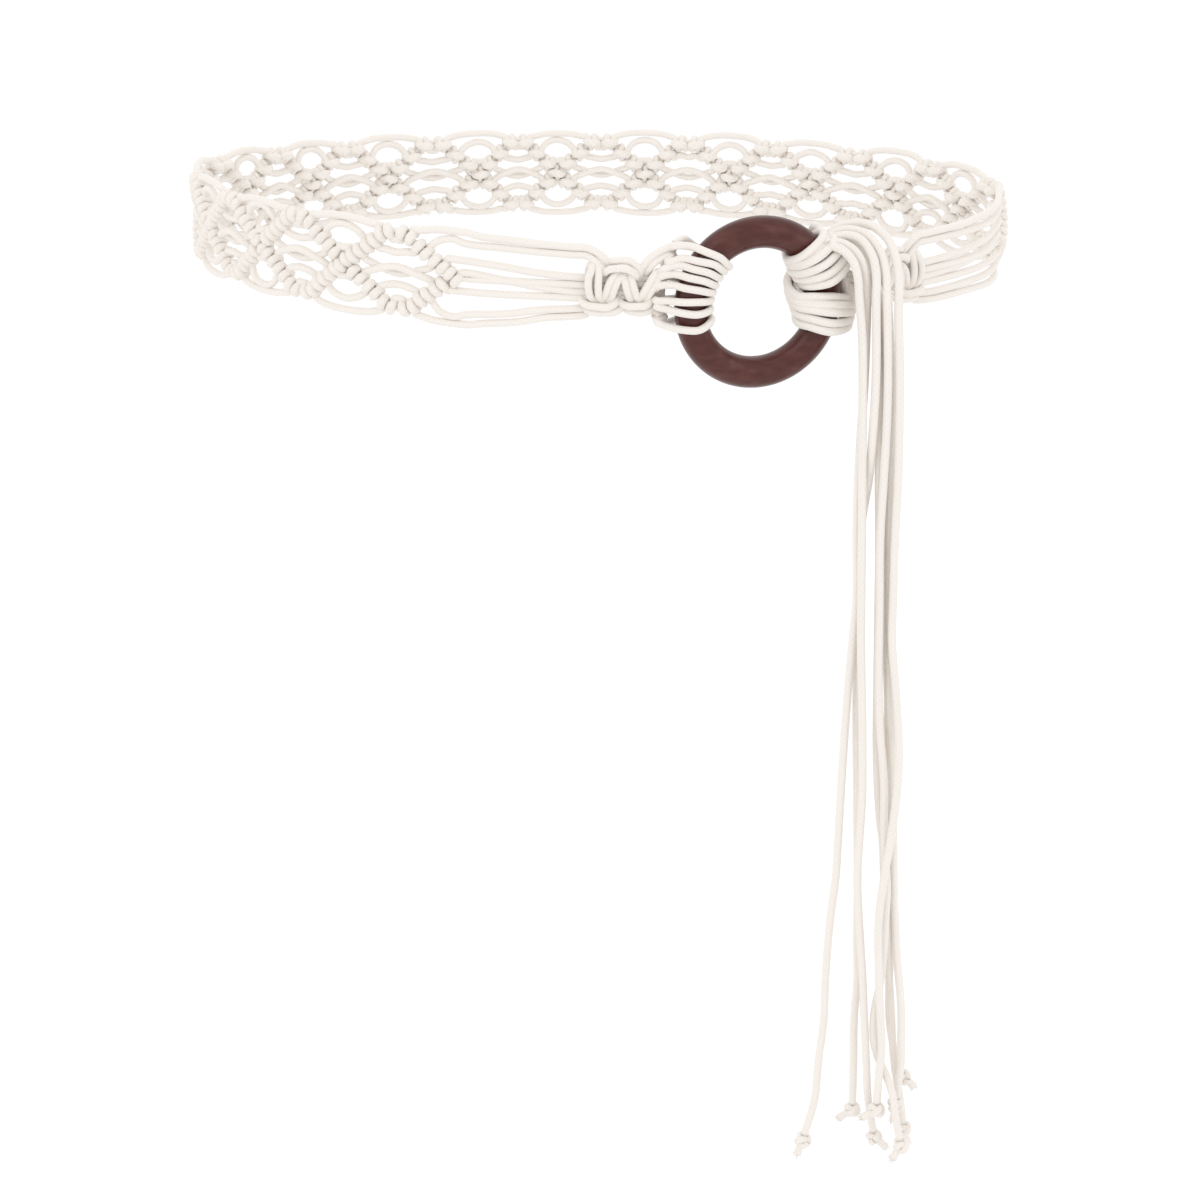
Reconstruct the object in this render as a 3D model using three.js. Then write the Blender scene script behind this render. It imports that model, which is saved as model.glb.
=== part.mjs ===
// Macrame belt: a knotted cotton net joined in a loop through a wooden ring, with eight hanging cords.
// Millimetres, +Z up. The origin is the middle of the waist loop at the height of the belt line.
// Stations along the belt are arc lengths, anticlockwise seen from above, from the loop's +X side.
import * as THREE from 'three';

// Cord and ring
const CORD_DIAMETER = 3;
const RING_DIAMETER = 60;
const RING_TUBE_DIAMETER = 11;
const GAP = 0.3;

// Waist loop: half width, half depth behind and in front, and how much the back is flattened
const LOOP_HALF_WIDTH = 149;
const LOOP_BACK_DEPTH = 99;
const LOOP_FRONT_DEPTH = 96;
const BACK_FLATTENING = 0.15;

// The belt line sinks to one side and sags a little between: heights of its three waves
const TILT_HEIGHT = -4;
const SAG_HEIGHT = 1.5;
const TWIST_HEIGHT = 1.3;

// The ring hangs in the belt line at this share of the way round, set back and lower than the line
const RING_SHARE = 0.82;
const RING_SET_BACK = 1.4;
const RING_DROP = 5.1;
const RING_YAW_DEGREES = 17;

// Lengths along the belt, first to the left of the ring and then to the right of it.
// The leads are the cords between the ring's hitches and the square knots.
const LEFT_LEAD_LENGTH = 2.7;
const LEFT_LEAD_CLEARANCE = 1;
const LEFT_KNOTS_LENGTH = 23.8;
const LEFT_FAN_LENGTH = 32.6;
const RIGHT_LEAD_CLEARANCE = 1.5;
const RIGHT_LEAD_LENGTH = 8.5;
const RIGHT_KNOTS_LENGTH = 17.8;
const RIGHT_FAN_LENGTH = 59.1;

// Net: half height, half thickness of a bar and where it fades, and the share of half a diamond's
// length that the net has beyond its first and last crossing
const NET_HALF_HEIGHT = 17.5;
const BAR_HALF_THICKNESS = 2.6;
const BAR_FADE_START = 3;
const BAR_FADE_END = 4.8;
const NET_END_SHARE = 0.642;
const NET_END_HEIGHT = 16.6;
const NOMINAL_HALF_PITCH = 17.92;
const PEAK_HEIGHT = 12.9;
const PEAK_SIDE_STEP = 3;

// Square knots: half height and half thickness, with the corners cut by this much
const KNOTS_HALF_HEIGHT = 9.4;
const KNOTS_HALF_THICKNESS = 3.7;
const KNOTS_CORNER = 2.2;
const LEAD_TOP = -2;
const LEAD_BOTTOM = -13;
const LEAD_HALF_THICKNESS = 2.4;

// Cow hitches on the ring's left side: their count and the angles on the ring that they share
const COW_HITCH_COUNT = 4;
const COW_HITCH_DEGREES = [137, 192];
const COW_HITCH_STEPS = 2;
const LEFT_LEAD_POINTS = 5;

// Two turns on the ring's right side: angles on the ring, and their outer radius round the tube
const LOWER_TURN_DEGREES = [-23, 5];
const UPPER_TURN_DEGREES = [6.5, 32];
const TURN_THICKNESS = 5.2;
const SLEEVE_SIDES = 12;
const TURN_STEPS = 4;

// Hanging cords and their end knots
const CORD_SIDES = 8;
const STEP_IN_DIAMETERS = 3;
const END_KNOT_RADIUS = 3.4;
const END_KNOT_SIDES = 8;
const END_KNOT_BANDS = 4;
const RING_SEGMENTS = 28;
const RING_TUBE_SIDES = 8;

// Share of the net's length that each diamond takes, from the right end round the back to the left end
const DIAMOND_SHARES = [
  1.05, 0.95, 1.08, 0.97, 0.99, 1.02, 0.9, 1.1, 0.97, 0.88, 1.01, 1.01, 0.92, 1.02, 1.13,
];

// Corners of the gaps and of the net's edge: [share of half a diamond's length, share of the net's half height].
// The gaps inside a diamond are halved by its middle: one half, upwards from the belt line.
const MIDDLE_GAP_HALVES = [
  [0, 0.165], [0.34, 0.12],  [0.45, 0.25], [0.35, 0.34], [0, 0.27],
  [0, 0.445], [0.16, 0.48], [0.09, 0.575], [0, 0.575],
];
// Gaps round a crossing, and the net's edge above it
const INNER_ARC_GAP = [[-0.23, 0.465], [0.23, 0.465], [0.33, 0.54], [0.18, 0.61], [-0.18, 0.61], [-0.33, 0.54]];
const OUTER_ARC_GAP = [
  [-0.46, 0.655], [0, 0.78], [0.46, 0.655], [0.59, 0.765], [0.4, 0.845], [-0.4, 0.845], [-0.59, 0.765],
];
const EDGE_FROM_CROSSING = [[-0.78, 0.92], [-0.5, 1], [0.5, 1], [0.78, 0.92]];
const PEAK_EDGE_HEIGHT = 0.86;

// Fans of loose cords: half height at the net, half height at the knots, and the two long gaps as
// [share of the fan's length from the net, share of the net's half height]
const FAN_HALF_THICKNESS = 2;
const LEFT_FAN_EDGE = [[0, 1], [0.35, 0.93], [0.75, 0.78], [1, 0.55], [1, -0.52], [0.75, -0.62], [0.35, -0.8], [0, -1]];
const LEFT_FAN_GAPS = [
  [[0.08, 0.5], [0.4, 0.4], [0.82, 0.42], [0.4, 0.62], [0.08, 0.64]],
  [[0.08, -0.5], [0.4, -0.33], [0.8, -0.28], [0.4, -0.45], [0.08, -0.64]],
];
const RIGHT_FAN_EDGE = [[0, 1], [0.3, 0.97], [0.7, 0.8], [1, 0.55], [1, -0.55], [0.7, -0.72], [0.3, -0.94], [0, -1]];
const RIGHT_FAN_GAPS = [
  [[0.05, 0.5], [0.4, 0.44], [0.86, 0.36], [0.45, 0.6], [0.05, 0.64]],
  [[0.05, -0.5], [0.4, -0.34], [0.84, -0.3], [0.45, -0.5], [0.05, -0.64]],
];

// Routes of the hanging cords from the ring's right side, as points chosen by hand: [x, y, z].
// They are given with the ring's middle at ROUTE_ANCHOR and move with the ring.
const ROUTE_ANCHOR = new THREE.Vector3(54.3, -88, -8.5);
const CORD_ROUTES = [
  [
    [77.6, -88.4, 11.4], [82, -90.4, 10.2], [85.6, -92.8, 6.6], [87.2, -94.2, 1.2], [87.8, -94.5, -5],
    [89.5, -94.5, -20], [90.9, -94.5, -55.7], [92.2, -94.5, -92.5], [93.4, -94.5, -130.6], [95.5, -94.5, -170],
    [96.3, -94.5, -194.2], [96, -94.5, -210.7], [95.9, -94.5, -227.3], [97.2, -94.5, -244.3],
    [99.6, -94.5, -270.1], [100.9, -94.5, -287.6], [102.3, -94.5, -305.3], [103.8, -94.5, -323.3],
    [106.3, -94.5, -337.4],
  ],
  [
    [77.6, -84.7, 11.6], [82.2, -86.3, 11.6], [86.8, -88.8, 9], [89.6, -90.5, 3.8], [90.6, -90.9, -3],
    [91.1, -90.9, -20.9], [91.1, -90.9, -38.7], [90.6, -90.9, -56.8], [90.4, -90.9, -71.5], [90.7, -90.9, -93.8],
    [91.6, -90.9, -116.6], [90.8, -90.9, -132.1], [89.7, -90.9, -155.7], [88.9, -90.9, -187.8],
    [88.5, -90.9, -212.5], [88.1, -90.9, -229.3], [86.7, -90.9, -246.3], [85.8, -90.9, -272.2],
    [85.8, -90.9, -289.8], [84.4, -90.9, -307.6], [83.4, -90.9, -325.7], [80, -90.9, -341.2],
  ],
  [
    [77.6, -81, 11.6], [82.8, -82.2, 13.4], [88, -85, 13], [92, -89.4, 8.6], [93.4, -93.2, 2.4],
    [93.6, -94.5, -5], [94.7, -94.5, -34.1], [94.4, -94.2, -55.7], [94.1, -90.9, -71.5], [93, -88.5, -83.5],
    [92.2, -87.3, -95.2], [92.9, -87.3, -118.1], [93.4, -88.5, -156.7], [94.8, -88.5, -189],
    [96.7, -88.5, -230.6], [97.5, -88.5, -256.2], [98.2, -88.5, -273.6], [97.7, -88.5, -291.2],
    [98.2, -88.5, -309.1], [98.5, -88.5, -328.6],
  ],
  [
    [77.6, -77.4, 11.6], [83, -78.4, 14.4], [89.6, -81.6, 14.2], [94.6, -86.8, 9.8], [96.8, -91.8, 3],
    [97.2, -94.2, -4], [98.8, -94.5, -34.1], [99.1, -94.5, -55.7], [98.9, -94.5, -70.3], [98.6, -94.5, -92.5],
    [99.4, -94.5, -115.2], [100.7, -94.5, -154.1], [102.1, -94.5, -170], [104, -94.5, -186.1],
    [104.7, -94.5, -202.4], [105.6, -94.5, -214.8], [107.1, -94.5, -231.6], [107.1, -94.5, -244.3],
    [106.9, -94.5, -261.4], [106.2, -94.5, -272.2], [104.9, -94.5, -281], [104.5, -94.5, -289.8],
    [105.3, -94.5, -298.6], [107.2, -94.5, -305.3], [110, -96.8, -310.7], [112.2, -101.4, -316.4],
    [113.4, -104.2, -324.9], [115.4, -104.6, -334.4],
  ],
  [
    [77.6, -73.8, 11.6], [83.2, -74.4, 15], [91, -77.6, 16.4], [97.6, -83.4, 12.8], [100.6, -89.6, 5.8],
    [101.2, -93.6, -2], [101.4, -94.5, -10], [102.9, -94.5, -34.1], [103.6, -94.5, -55.7],
    [103.9, -94.5, -70.3], [103.8, -94.5, -92.5], [104.2, -94.5, -115.2], [104.5, -94.5, -130.6],
    [107.1, -94.5, -154.1], [108.5, -95.5, -169.5], [108.7, -98.1, -184.3], [107.1, -98.1, -208.8],
    [105.7, -98.1, -221.3], [104.1, -98.1, -242.2], [105.3, -98.1, -267.9], [106.6, -98.1, -285.4],
    [107.6, -98.1, -298.6], [106.9, -99, -309.1], [106.5, -100, -321.1],
  ],
  [
    [77.4, -69.6, 8], [82.6, -71.6, 9.8], [87.6, -76.8, 9], [91.4, -82.4, 5.2], [93.6, -87.6, -0.6],
    [94.4, -90.7, -8], [94.9, -90.9, -16], [96.6, -90.9, -35.2], [97.3, -90.9, -56.8], [97.7, -90.9, -71.5],
    [98.8, -90.9, -93.8], [99.5, -90.9, -116.6], [100.6, -90.9, -155.7], [101.1, -90.9, -171.6],
    [102.1, -90.9, -187.8], [103.7, -90.9, -204.2], [105, -90.9, -212.5], [106.3, -90.9, -229.3],
    [107.6, -90.9, -246.3], [109.5, -90.9, -265.1], [111.4, -90.9, -285.2], [113, -90.9, -303.1],
    [114.2, -90.9, -312.1], [116.8, -90.9, -325.8], [118.2, -90.9, -335.9],
  ],
  [
    [79.2, -69.2, 4.6], [85, -71.6, 6], [91, -76.6, 5.6], [95.6, -82.2, 2.2], [97.8, -87.6, -3.6],
    [98.4, -90.7, -11], [100.6, -90.9, -35.2], [101.3, -90.9, -56.8], [101.9, -90.9, -71.5],
    [102.5, -90.9, -93.8], [103.3, -90.9, -116.6], [104.2, -90.9, -132.1], [104.9, -90.9, -155.7],
    [106.5, -90.9, -171.6], [107.6, -90.9, -187.8], [109.1, -90.9, -212.5], [110, -90.9, -229.3],
    [111.2, -90.9, -246.3], [112.7, -92.7, -263.5], [114.6, -94.5, -280.9], [115.5, -94.5, -298.6],
    [115.8, -94.5, -307.6], [115.1, -95.4, -314.6], [114.4, -96.8, -320.9],
  ],
  [
    [81, -68.8, 1], [86, -71.4, 2], [90.6, -76.2, 0.8], [94, -80.8, -2.6], [96, -84.8, -8], [96.8, -87, -15],
    [98.2, -87.3, -36.2], [99.6, -87.3, -58], [100.6, -87.3, -72.7], [101.7, -87.3, -95.2],
    [102.6, -87.3, -118.1], [103.1, -87.3, -133.6], [105, -87.3, -157.3], [105.5, -87.3, -173.3],
    [107.2, -87.3, -189.6], [108.7, -87.3, -214.4], [109.4, -87.3, -231.2], [110.2, -87.3, -248.3],
    [110.7, -87.3, -261.2], [110.6, -87.3, -274.3], [111.5, -87.3, -292], [113.4, -86.8, -303.1],
    [115, -86.4, -309.9], [117.3, -85.5, -316.2],
  ],
];

// Sizes that follow from the ones above
const CORD_RADIUS = CORD_DIAMETER / 2;
const RING_TUBE_RADIUS = RING_TUBE_DIAMETER / 2;
const RING_CENTRE_RADIUS = RING_DIAMETER / 2 - RING_TUBE_RADIUS;
const sleeveInnerRadius = RING_TUBE_RADIUS / Math.cos(Math.PI / SLEEVE_SIDES) + GAP;
const leftHitchReach = RING_CENTRE_RADIUS + sleeveInnerRadius + CORD_DIAMETER + LEFT_LEAD_CLEARANCE;
const rightTurnReach = RING_CENTRE_RADIUS + sleeveInnerRadius + TURN_THICKNESS + RIGHT_LEAD_CLEARANCE;

// The belt line, once round the waist
class BeltLine extends THREE.Curve {
  getPoint(share, target = new THREE.Vector3()) {
    const t = share * 2 * Math.PI;
    const behind = Math.sin(t) > 0;
    const flattening = behind ? 1 - BACK_FLATTENING * Math.cos(t) ** 2 : 1;
    const depth = behind ? LOOP_BACK_DEPTH : LOOP_FRONT_DEPTH;
    return target.set(
      LOOP_HALF_WIDTH * Math.cos(t),
      depth * flattening * Math.sin(t),
      TILT_HEIGHT * Math.cos(t) + SAG_HEIGHT * Math.cos(2 * t) + TWIST_HEIGHT * Math.sin(2 * t),
    );
  }
}

const beltLine = new BeltLine();
beltLine.arcLengthDivisions = 1200;
const loopLength = beltLine.getLength();

// A place on the belt: station along it, height above the belt line, and distance outwards
function onBelt(station, height, outwards) {
  const share = THREE.MathUtils.euclideanModulo(station / loopLength, 1);
  const point = beltLine.getPointAt(share);
  const along = beltLine.getTangentAt(share);
  const out = new THREE.Vector3(along.y, -along.x, 0).normalize();
  return point.addScaledVector(out, outwards).add(new THREE.Vector3(0, 0, height));
}

const ringStation = RING_SHARE * loopLength;
const ringCentre = onBelt(ringStation, -RING_DROP, -RING_SET_BACK);
const ringTurn = new THREE.Matrix4().makeRotationZ(THREE.MathUtils.degToRad(RING_YAW_DEGREES));
const ringAcross = new THREE.Vector3(1, 0, 0).applyMatrix4(ringTurn);
const ringUp = new THREE.Vector3(0, 0, 1);

// Stations of the pieces to the left and right of the ring
const leftKnotsEnd = ringStation - leftHitchReach - LEFT_LEAD_LENGTH;
const leftKnotsStart = leftKnotsEnd - LEFT_KNOTS_LENGTH;
const leftFanStart = leftKnotsStart - LEFT_FAN_LENGTH;
const rightLeadStart = ringStation + rightTurnReach;
const rightKnotsStart = rightLeadStart + RIGHT_LEAD_LENGTH;
const rightFanStart = rightKnotsStart + RIGHT_KNOTS_LENGTH;
const rightFanEnd = rightFanStart + RIGHT_FAN_LENGTH;
const netStart = rightFanEnd - loopLength;
const netEnd = leftFanStart;

const group = new THREE.Group();
group.name = 'macrame_belt';

const cotton = () => new THREE.MeshStandardMaterial({ color: 0xf2eadf, roughness: 0.9, metalness: 0 });
const wood = () => new THREE.MeshStandardMaterial({ color: 0x5f3a33, roughness: 0.25, metalness: 0 });

function addMesh(name, geometry, material) {
  const mesh = new THREE.Mesh(geometry, material);
  mesh.name = name;
  group.add(mesh);
}

// A panel drawn flat in [station, height] and wrapped on the belt, with its half thickness given by a rule.
// It is drawn in pieces side by side, and edges that two pieces share get no wall.
function panel(pieces, halfThickness) {
  const triangles = [];
  const walls = new Map();
  const name = (from, to) => [from.x, from.y, to.x, to.y].map((value) => value.toFixed(5)).join(' ');
  const turned = (corners, clockwise) => {
    const vectors = corners.map(([along, up]) => new THREE.Vector2(along, up));
    return THREE.ShapeUtils.isClockWise(vectors) === clockwise ? vectors : vectors.reverse();
  };
  for (const { edge, gaps } of pieces) {
    const contour = turned(edge, false);
    const holes = gaps.map((gap) => turned(gap, true));
    const corners = [contour, ...holes].flat();
    for (const [a, b, c] of THREE.ShapeUtils.triangulateShape(contour, holes)) {
      const face = [corners[a], corners[b], corners[c]];
      const ordered = THREE.ShapeUtils.isClockWise(face) ? face.reverse() : face;
      triangles.push(ordered.map((corner) => [corner, 1]), [...ordered].reverse().map((corner) => [corner, -1]));
    }
    for (const ring of [contour, ...holes]) {
      ring.forEach((from, i) => {
        const to = ring[(i + 1) % ring.length];
        if (!walls.delete(name(to, from))) {
          walls.set(name(from, to), [from, to]);
        }
      });
    }
  }
  for (const [from, to] of walls.values()) {
    triangles.push([[from, -1], [to, -1], [to, 1]], [[from, -1], [to, 1], [from, 1]]);
  }
  const places = triangles.flat().map(([corner, side]) =>
    onBelt(corner.x, corner.y, side * halfThickness(corner.x, corner.y)));
  const geometry = new THREE.BufferGeometry().setFromPoints(places);
  geometry.computeVertexNormals();
  return geometry;
}

// Net of diamonds: stations of the crossings, then the gaps round each crossing and in each diamond
const nominalHalf = (netEnd - netStart - 2 * GAP) / (DIAMOND_SHARES.length + NET_END_SHARE) / 2;
const crossingSpan = nominalHalf * DIAMOND_SHARES.length * 2;
const shareTotal = DIAMOND_SHARES.reduce((sum, share) => sum + share, 0);
const crossings = [netStart + GAP + nominalHalf * NET_END_SHARE];
for (const share of DIAMOND_SHARES) {
  crossings.push(crossings[crossings.length - 1] + (crossingSpan * share) / shareTotal);
}

const middles = DIAMOND_SHARES.map((share, i) => (crossings[i] + crossings[i + 1]) / 2);
const mirrored = (corners) => corners.map(([along, up]) => [along, -up]).reverse();

// One piece of the net per crossing, from the middle of one diamond to the middle of the next.
// The first and last piece end square, a little beyond their crossing.
const netPieces = crossings.map((crossing, i) => {
  const start = i > 0 ? middles[i - 1] : netStart + GAP;
  const end = i < middles.length ? middles[i] : netEnd - GAP;
  const before = i > 0 ? crossing - start : nominalHalf;
  const after = i < middles.length ? end - crossing : nominalHalf;
  const around = (corners) =>
    corners.map(([along, up]) => [crossing + along * (along < 0 ? before : after), up * NET_HALF_HEIGHT]);
  const cut = (station, reach) => {
    const upper = MIDDLE_GAP_HALVES.map(([along, up]) => [station + along * reach, up * NET_HALF_HEIGHT]);
    return [...mirrored(upper), ...upper];
  };
  const top = around(EDGE_FROM_CROSSING).filter(([along]) => along > start && along < end);
  const startHeight = i > 0 ? PEAK_EDGE_HEIGHT * NET_HALF_HEIGHT : NET_END_HEIGHT;
  const endHeight = i < middles.length ? PEAK_EDGE_HEIGHT * NET_HALF_HEIGHT : NET_END_HEIGHT;
  const edge = [
    [start, -startHeight],
    ...mirrored(top).reverse(),
    [end, -endHeight],
    ...(i < middles.length ? cut(end, -after) : []),
    [end, endHeight],
    ...top.reverse(),
    [start, startHeight],
    ...(i > 0 ? cut(start, before).reverse() : []),
  ];
  const arcs = [INNER_ARC_GAP, OUTER_ARC_GAP].map(around);
  return { edge, gaps: [...arcs, ...arcs.map(mirrored)] };
});

// Thick along the knotted bars, one cord thick between them
const barReach = new THREE.Vector2(NOMINAL_HALF_PITCH - PEAK_SIDE_STEP, PEAK_HEIGHT);
function netHalfThickness(station, height) {
  let nearest = Infinity;
  crossings.forEach((crossing, i) => {
    const neighbour = crossings[station < crossing ? i - 1 : i + 1];
    const half = neighbour === undefined ? nominalHalf : Math.abs(neighbour - crossing) / 2;
    const along = (Math.abs(station - crossing) * NOMINAL_HALF_PITCH) / half;
    if (along < NOMINAL_HALF_PITCH + GAP) {
      nearest = Math.min(nearest, Math.abs(along * barReach.y - Math.abs(height) * barReach.x) / barReach.length());
    }
  });
  const share = THREE.MathUtils.clamp((BAR_FADE_END - nearest) / (BAR_FADE_END - BAR_FADE_START), 0, 1);
  return THREE.MathUtils.lerp(CORD_RADIUS, BAR_HALF_THICKNESS, share);
}

addMesh('net_band', panel(netPieces, netHalfThickness), cotton());

// Fans of loose cords between the net and the square knots
function fan(name, netStation, knotStation, edge, gaps) {
  const place = ([along, up]) => [
    THREE.MathUtils.lerp(netStation, knotStation, along),
    up * NET_HALF_HEIGHT,
  ];
  addMesh(name, panel([{ edge: edge.map(place), gaps: gaps.map((gap) => gap.map(place)) }], () => FAN_HALF_THICKNESS), cotton());
}

fan('left_fan', netEnd, leftKnotsStart - GAP, LEFT_FAN_EDGE, LEFT_FAN_GAPS);
fan('right_fan', rightFanEnd, rightFanStart + GAP, RIGHT_FAN_EDGE, RIGHT_FAN_GAPS);

// Rows of square knots: blocks with cut corners
function knotsBlock(name, start, end) {
  const inner = KNOTS_HALF_HEIGHT - KNOTS_CORNER;
  const edge = [
    [start + KNOTS_CORNER, -KNOTS_HALF_HEIGHT],
    [(start + end) / 2, -KNOTS_HALF_HEIGHT],
    [end - KNOTS_CORNER, -KNOTS_HALF_HEIGHT],
    [end, -inner],
    [end, inner],
    [end - KNOTS_CORNER, KNOTS_HALF_HEIGHT],
    [(start + end) / 2, KNOTS_HALF_HEIGHT],
    [start + KNOTS_CORNER, KNOTS_HALF_HEIGHT],
    [start, inner],
    [start, -inner],
  ];
  addMesh(name, panel([{ edge, gaps: [] }], () => KNOTS_HALF_THICKNESS), cotton());
}

knotsBlock('left_square_knots', leftKnotsStart, leftKnotsEnd);
knotsBlock('right_square_knots', rightKnotsStart, rightFanStart);

// Bundle of cords from the right knots down to the ring
const leadEdge = [
  [rightLeadStart, LEAD_BOTTOM],
  [rightKnotsStart - GAP, -KNOTS_HALF_HEIGHT + KNOTS_CORNER],
  [rightKnotsStart - GAP, KNOTS_HALF_HEIGHT / 2],
  [rightLeadStart, LEAD_TOP],
];
addMesh('right_lead', panel([{ edge: leadEdge, gaps: [] }], () => LEAD_HALF_THICKNESS), cotton());

// Wooden ring, standing in the belt's front
const ringGeometry = new THREE.TorusGeometry(
  RING_CENTRE_RADIUS, RING_TUBE_RADIUS, RING_TUBE_SIDES, RING_SEGMENTS,
);
ringGeometry.rotateX(Math.PI / 2);
ringGeometry.applyMatrix4(ringTurn);
ringGeometry.translate(ringCentre.x, ringCentre.y, ringCentre.z);
addMesh('wood_ring', ringGeometry, wood());

// Sleeves of cord round the ring's tube, between two angles on the ring
function circleShape(radius, sides, holeRadius) {
  const corners = (size) => Array.from({ length: sides }, (_, k) => {
    const angle = (2 * Math.PI * k) / sides;
    return new THREE.Vector2(size * Math.cos(angle), size * Math.sin(angle));
  });
  const shape = new THREE.Shape(corners(radius));
  if (holeRadius) {
    shape.holes.push(new THREE.Path(corners(holeRadius)));
  }
  return shape;
}

class RingArc extends THREE.Curve {
  constructor(fromDegrees, toDegrees) {
    super();
    this.from = THREE.MathUtils.degToRad(fromDegrees);
    this.to = THREE.MathUtils.degToRad(toDegrees);
  }

  getPoint(share, target = new THREE.Vector3()) {
    const angle = THREE.MathUtils.lerp(this.from, this.to, share);
    return target.copy(ringCentre)
      .addScaledVector(ringAcross, RING_CENTRE_RADIUS * Math.cos(angle))
      .addScaledVector(ringUp, RING_CENTRE_RADIUS * Math.sin(angle));
  }
}

function addSleeve(name, fromDegrees, toDegrees, thickness, steps) {
  const shape = circleShape(sleeveInnerRadius + thickness, SLEEVE_SIDES, sleeveInnerRadius);
  const extrudePath = new RingArc(fromDegrees, toDegrees);
  addMesh(name, new THREE.ExtrudeGeometry(shape, { steps, extrudePath, bevelEnabled: false }), cotton());
}

addSleeve('lower_turn', LOWER_TURN_DEGREES[0], LOWER_TURN_DEGREES[1], TURN_THICKNESS, TURN_STEPS);
addSleeve('upper_turn', UPPER_TURN_DEGREES[0], UPPER_TURN_DEGREES[1], TURN_THICKNESS, TURN_STEPS);

const hitchStep = (COW_HITCH_DEGREES[1] - COW_HITCH_DEGREES[0]) / COW_HITCH_COUNT;
const hitchMargin = THREE.MathUtils.radToDeg(GAP / (RING_CENTRE_RADIUS - RING_TUBE_RADIUS)) / 2;
for (let i = 0; i < COW_HITCH_COUNT; i += 1) {
  const from = COW_HITCH_DEGREES[0] + i * hitchStep;
  const to = from + hitchStep;
  addSleeve(`cow_hitch_${i + 1}`, from + hitchMargin, to - hitchMargin, CORD_DIAMETER, COW_HITCH_STEPS);
}

// Cords that open out from the left knots to the cow hitches
const leftLeadEdge = [
  [leftKnotsEnd + GAP, KNOTS_HALF_HEIGHT - KNOTS_CORNER],
  [leftKnotsEnd + GAP, KNOTS_CORNER - KNOTS_HALF_HEIGHT],
];
for (let k = 0; k < LEFT_LEAD_POINTS; k += 1) {
  const degrees = THREE.MathUtils.lerp(COW_HITCH_DEGREES[1], COW_HITCH_DEGREES[0], k / (LEFT_LEAD_POINTS - 1));
  const angle = THREE.MathUtils.degToRad(degrees);
  leftLeadEdge.push([
    ringStation + leftHitchReach * Math.cos(angle),
    leftHitchReach * Math.sin(angle) - RING_DROP,
  ]);
}
addMesh('left_lead', panel([{ edge: leftLeadEdge, gaps: [] }], () => LEAD_HALF_THICKNESS), cotton());

// Hanging cords with a knot at each lower end
const routeShift = new THREE.Vector3().subVectors(ringCentre, ROUTE_ANCHOR);
CORD_ROUTES.forEach((route, i) => {
  const points = route.map(([x, y, z]) => new THREE.Vector3(x, y, z).add(routeShift));
  const extrudePath = new THREE.CatmullRomCurve3(points);
  const steps = Math.ceil(extrudePath.getLength() / (STEP_IN_DIAMETERS * CORD_DIAMETER));
  const shape = circleShape(CORD_RADIUS, CORD_SIDES);
  const tube = new THREE.ExtrudeGeometry(shape, { steps, extrudePath, bevelEnabled: false });
  addMesh(`tail_cord_${i + 1}`, tube, cotton());

  const knot = new THREE.SphereGeometry(END_KNOT_RADIUS, END_KNOT_SIDES, END_KNOT_BANDS);
  knot.rotateX(Math.PI / 2);
  const end = extrudePath.getPointAt(1);
  end.addScaledVector(extrudePath.getTangentAt(1), END_KNOT_RADIUS + GAP);
  knot.translate(end.x, end.y, end.z);
  addMesh(`end_knot_${i + 1}`, knot, cotton());
});

export default group;
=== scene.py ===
"""Macrame belt: a knotted cotton net in a loop through a wooden ring, with eight hanging cords.

Every cord is a round tube carried along a line. Lines are worked out in three sets of coordinates:
belt places (station along the belt, height, outwards), ring places (angle on the ring, angle round
its tube, distance from the tube's middle) and plain points. Metres throughout, in the CAD's frame.
"""

import math

import bpy
import numpy as np
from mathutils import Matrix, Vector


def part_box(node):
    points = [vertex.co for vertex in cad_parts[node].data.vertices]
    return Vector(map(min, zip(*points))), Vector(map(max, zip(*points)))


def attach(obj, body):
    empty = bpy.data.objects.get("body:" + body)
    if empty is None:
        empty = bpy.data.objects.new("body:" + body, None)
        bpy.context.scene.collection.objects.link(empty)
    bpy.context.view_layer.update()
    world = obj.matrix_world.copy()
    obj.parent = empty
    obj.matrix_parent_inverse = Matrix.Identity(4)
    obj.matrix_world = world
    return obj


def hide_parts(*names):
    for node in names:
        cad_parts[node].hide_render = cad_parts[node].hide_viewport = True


bl_info = {
    "name": "Macrame Belt",
    "version": (1, 0, 0),
    "blender": (4, 5, 0),
    "location": "3D View > Sidebar > Macrame Belt",
    "description": "Builds the cords, knots, ring and stage of a macrame belt",
    "category": "Add Mesh",
}

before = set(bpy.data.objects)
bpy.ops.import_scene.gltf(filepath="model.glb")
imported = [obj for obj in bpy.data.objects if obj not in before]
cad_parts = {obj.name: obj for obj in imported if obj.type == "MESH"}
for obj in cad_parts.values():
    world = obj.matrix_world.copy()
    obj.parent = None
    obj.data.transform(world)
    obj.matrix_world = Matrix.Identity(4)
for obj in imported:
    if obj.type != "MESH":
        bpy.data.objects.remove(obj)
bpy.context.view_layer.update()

MM = 0.001
RING_LOW, RING_HIGH = (np.array(corner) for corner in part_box("wood_ring"))

# Photograph's frame: its focal length in pixels gives the lens on a 36 mm sensor
PHOTO_SIZE = 1200
PHOTO_FOCAL = 2400
SENSOR = 36.0
CAMERA_PLACE = (0.0, -0.8884, 0.1973)
CAMERA_PITCH = 68.51

# Belt line, as in the part's source
LOOP_HALF_WIDTH = 149 * MM
LOOP_BACK_DEPTH = 99 * MM
LOOP_FRONT_DEPTH = 96 * MM
BACK_FLATTENING = 0.15
LINE_TILT = -4 * MM
LINE_SAG = 1.5 * MM
LINE_TWIST = 1.3 * MM

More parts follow.
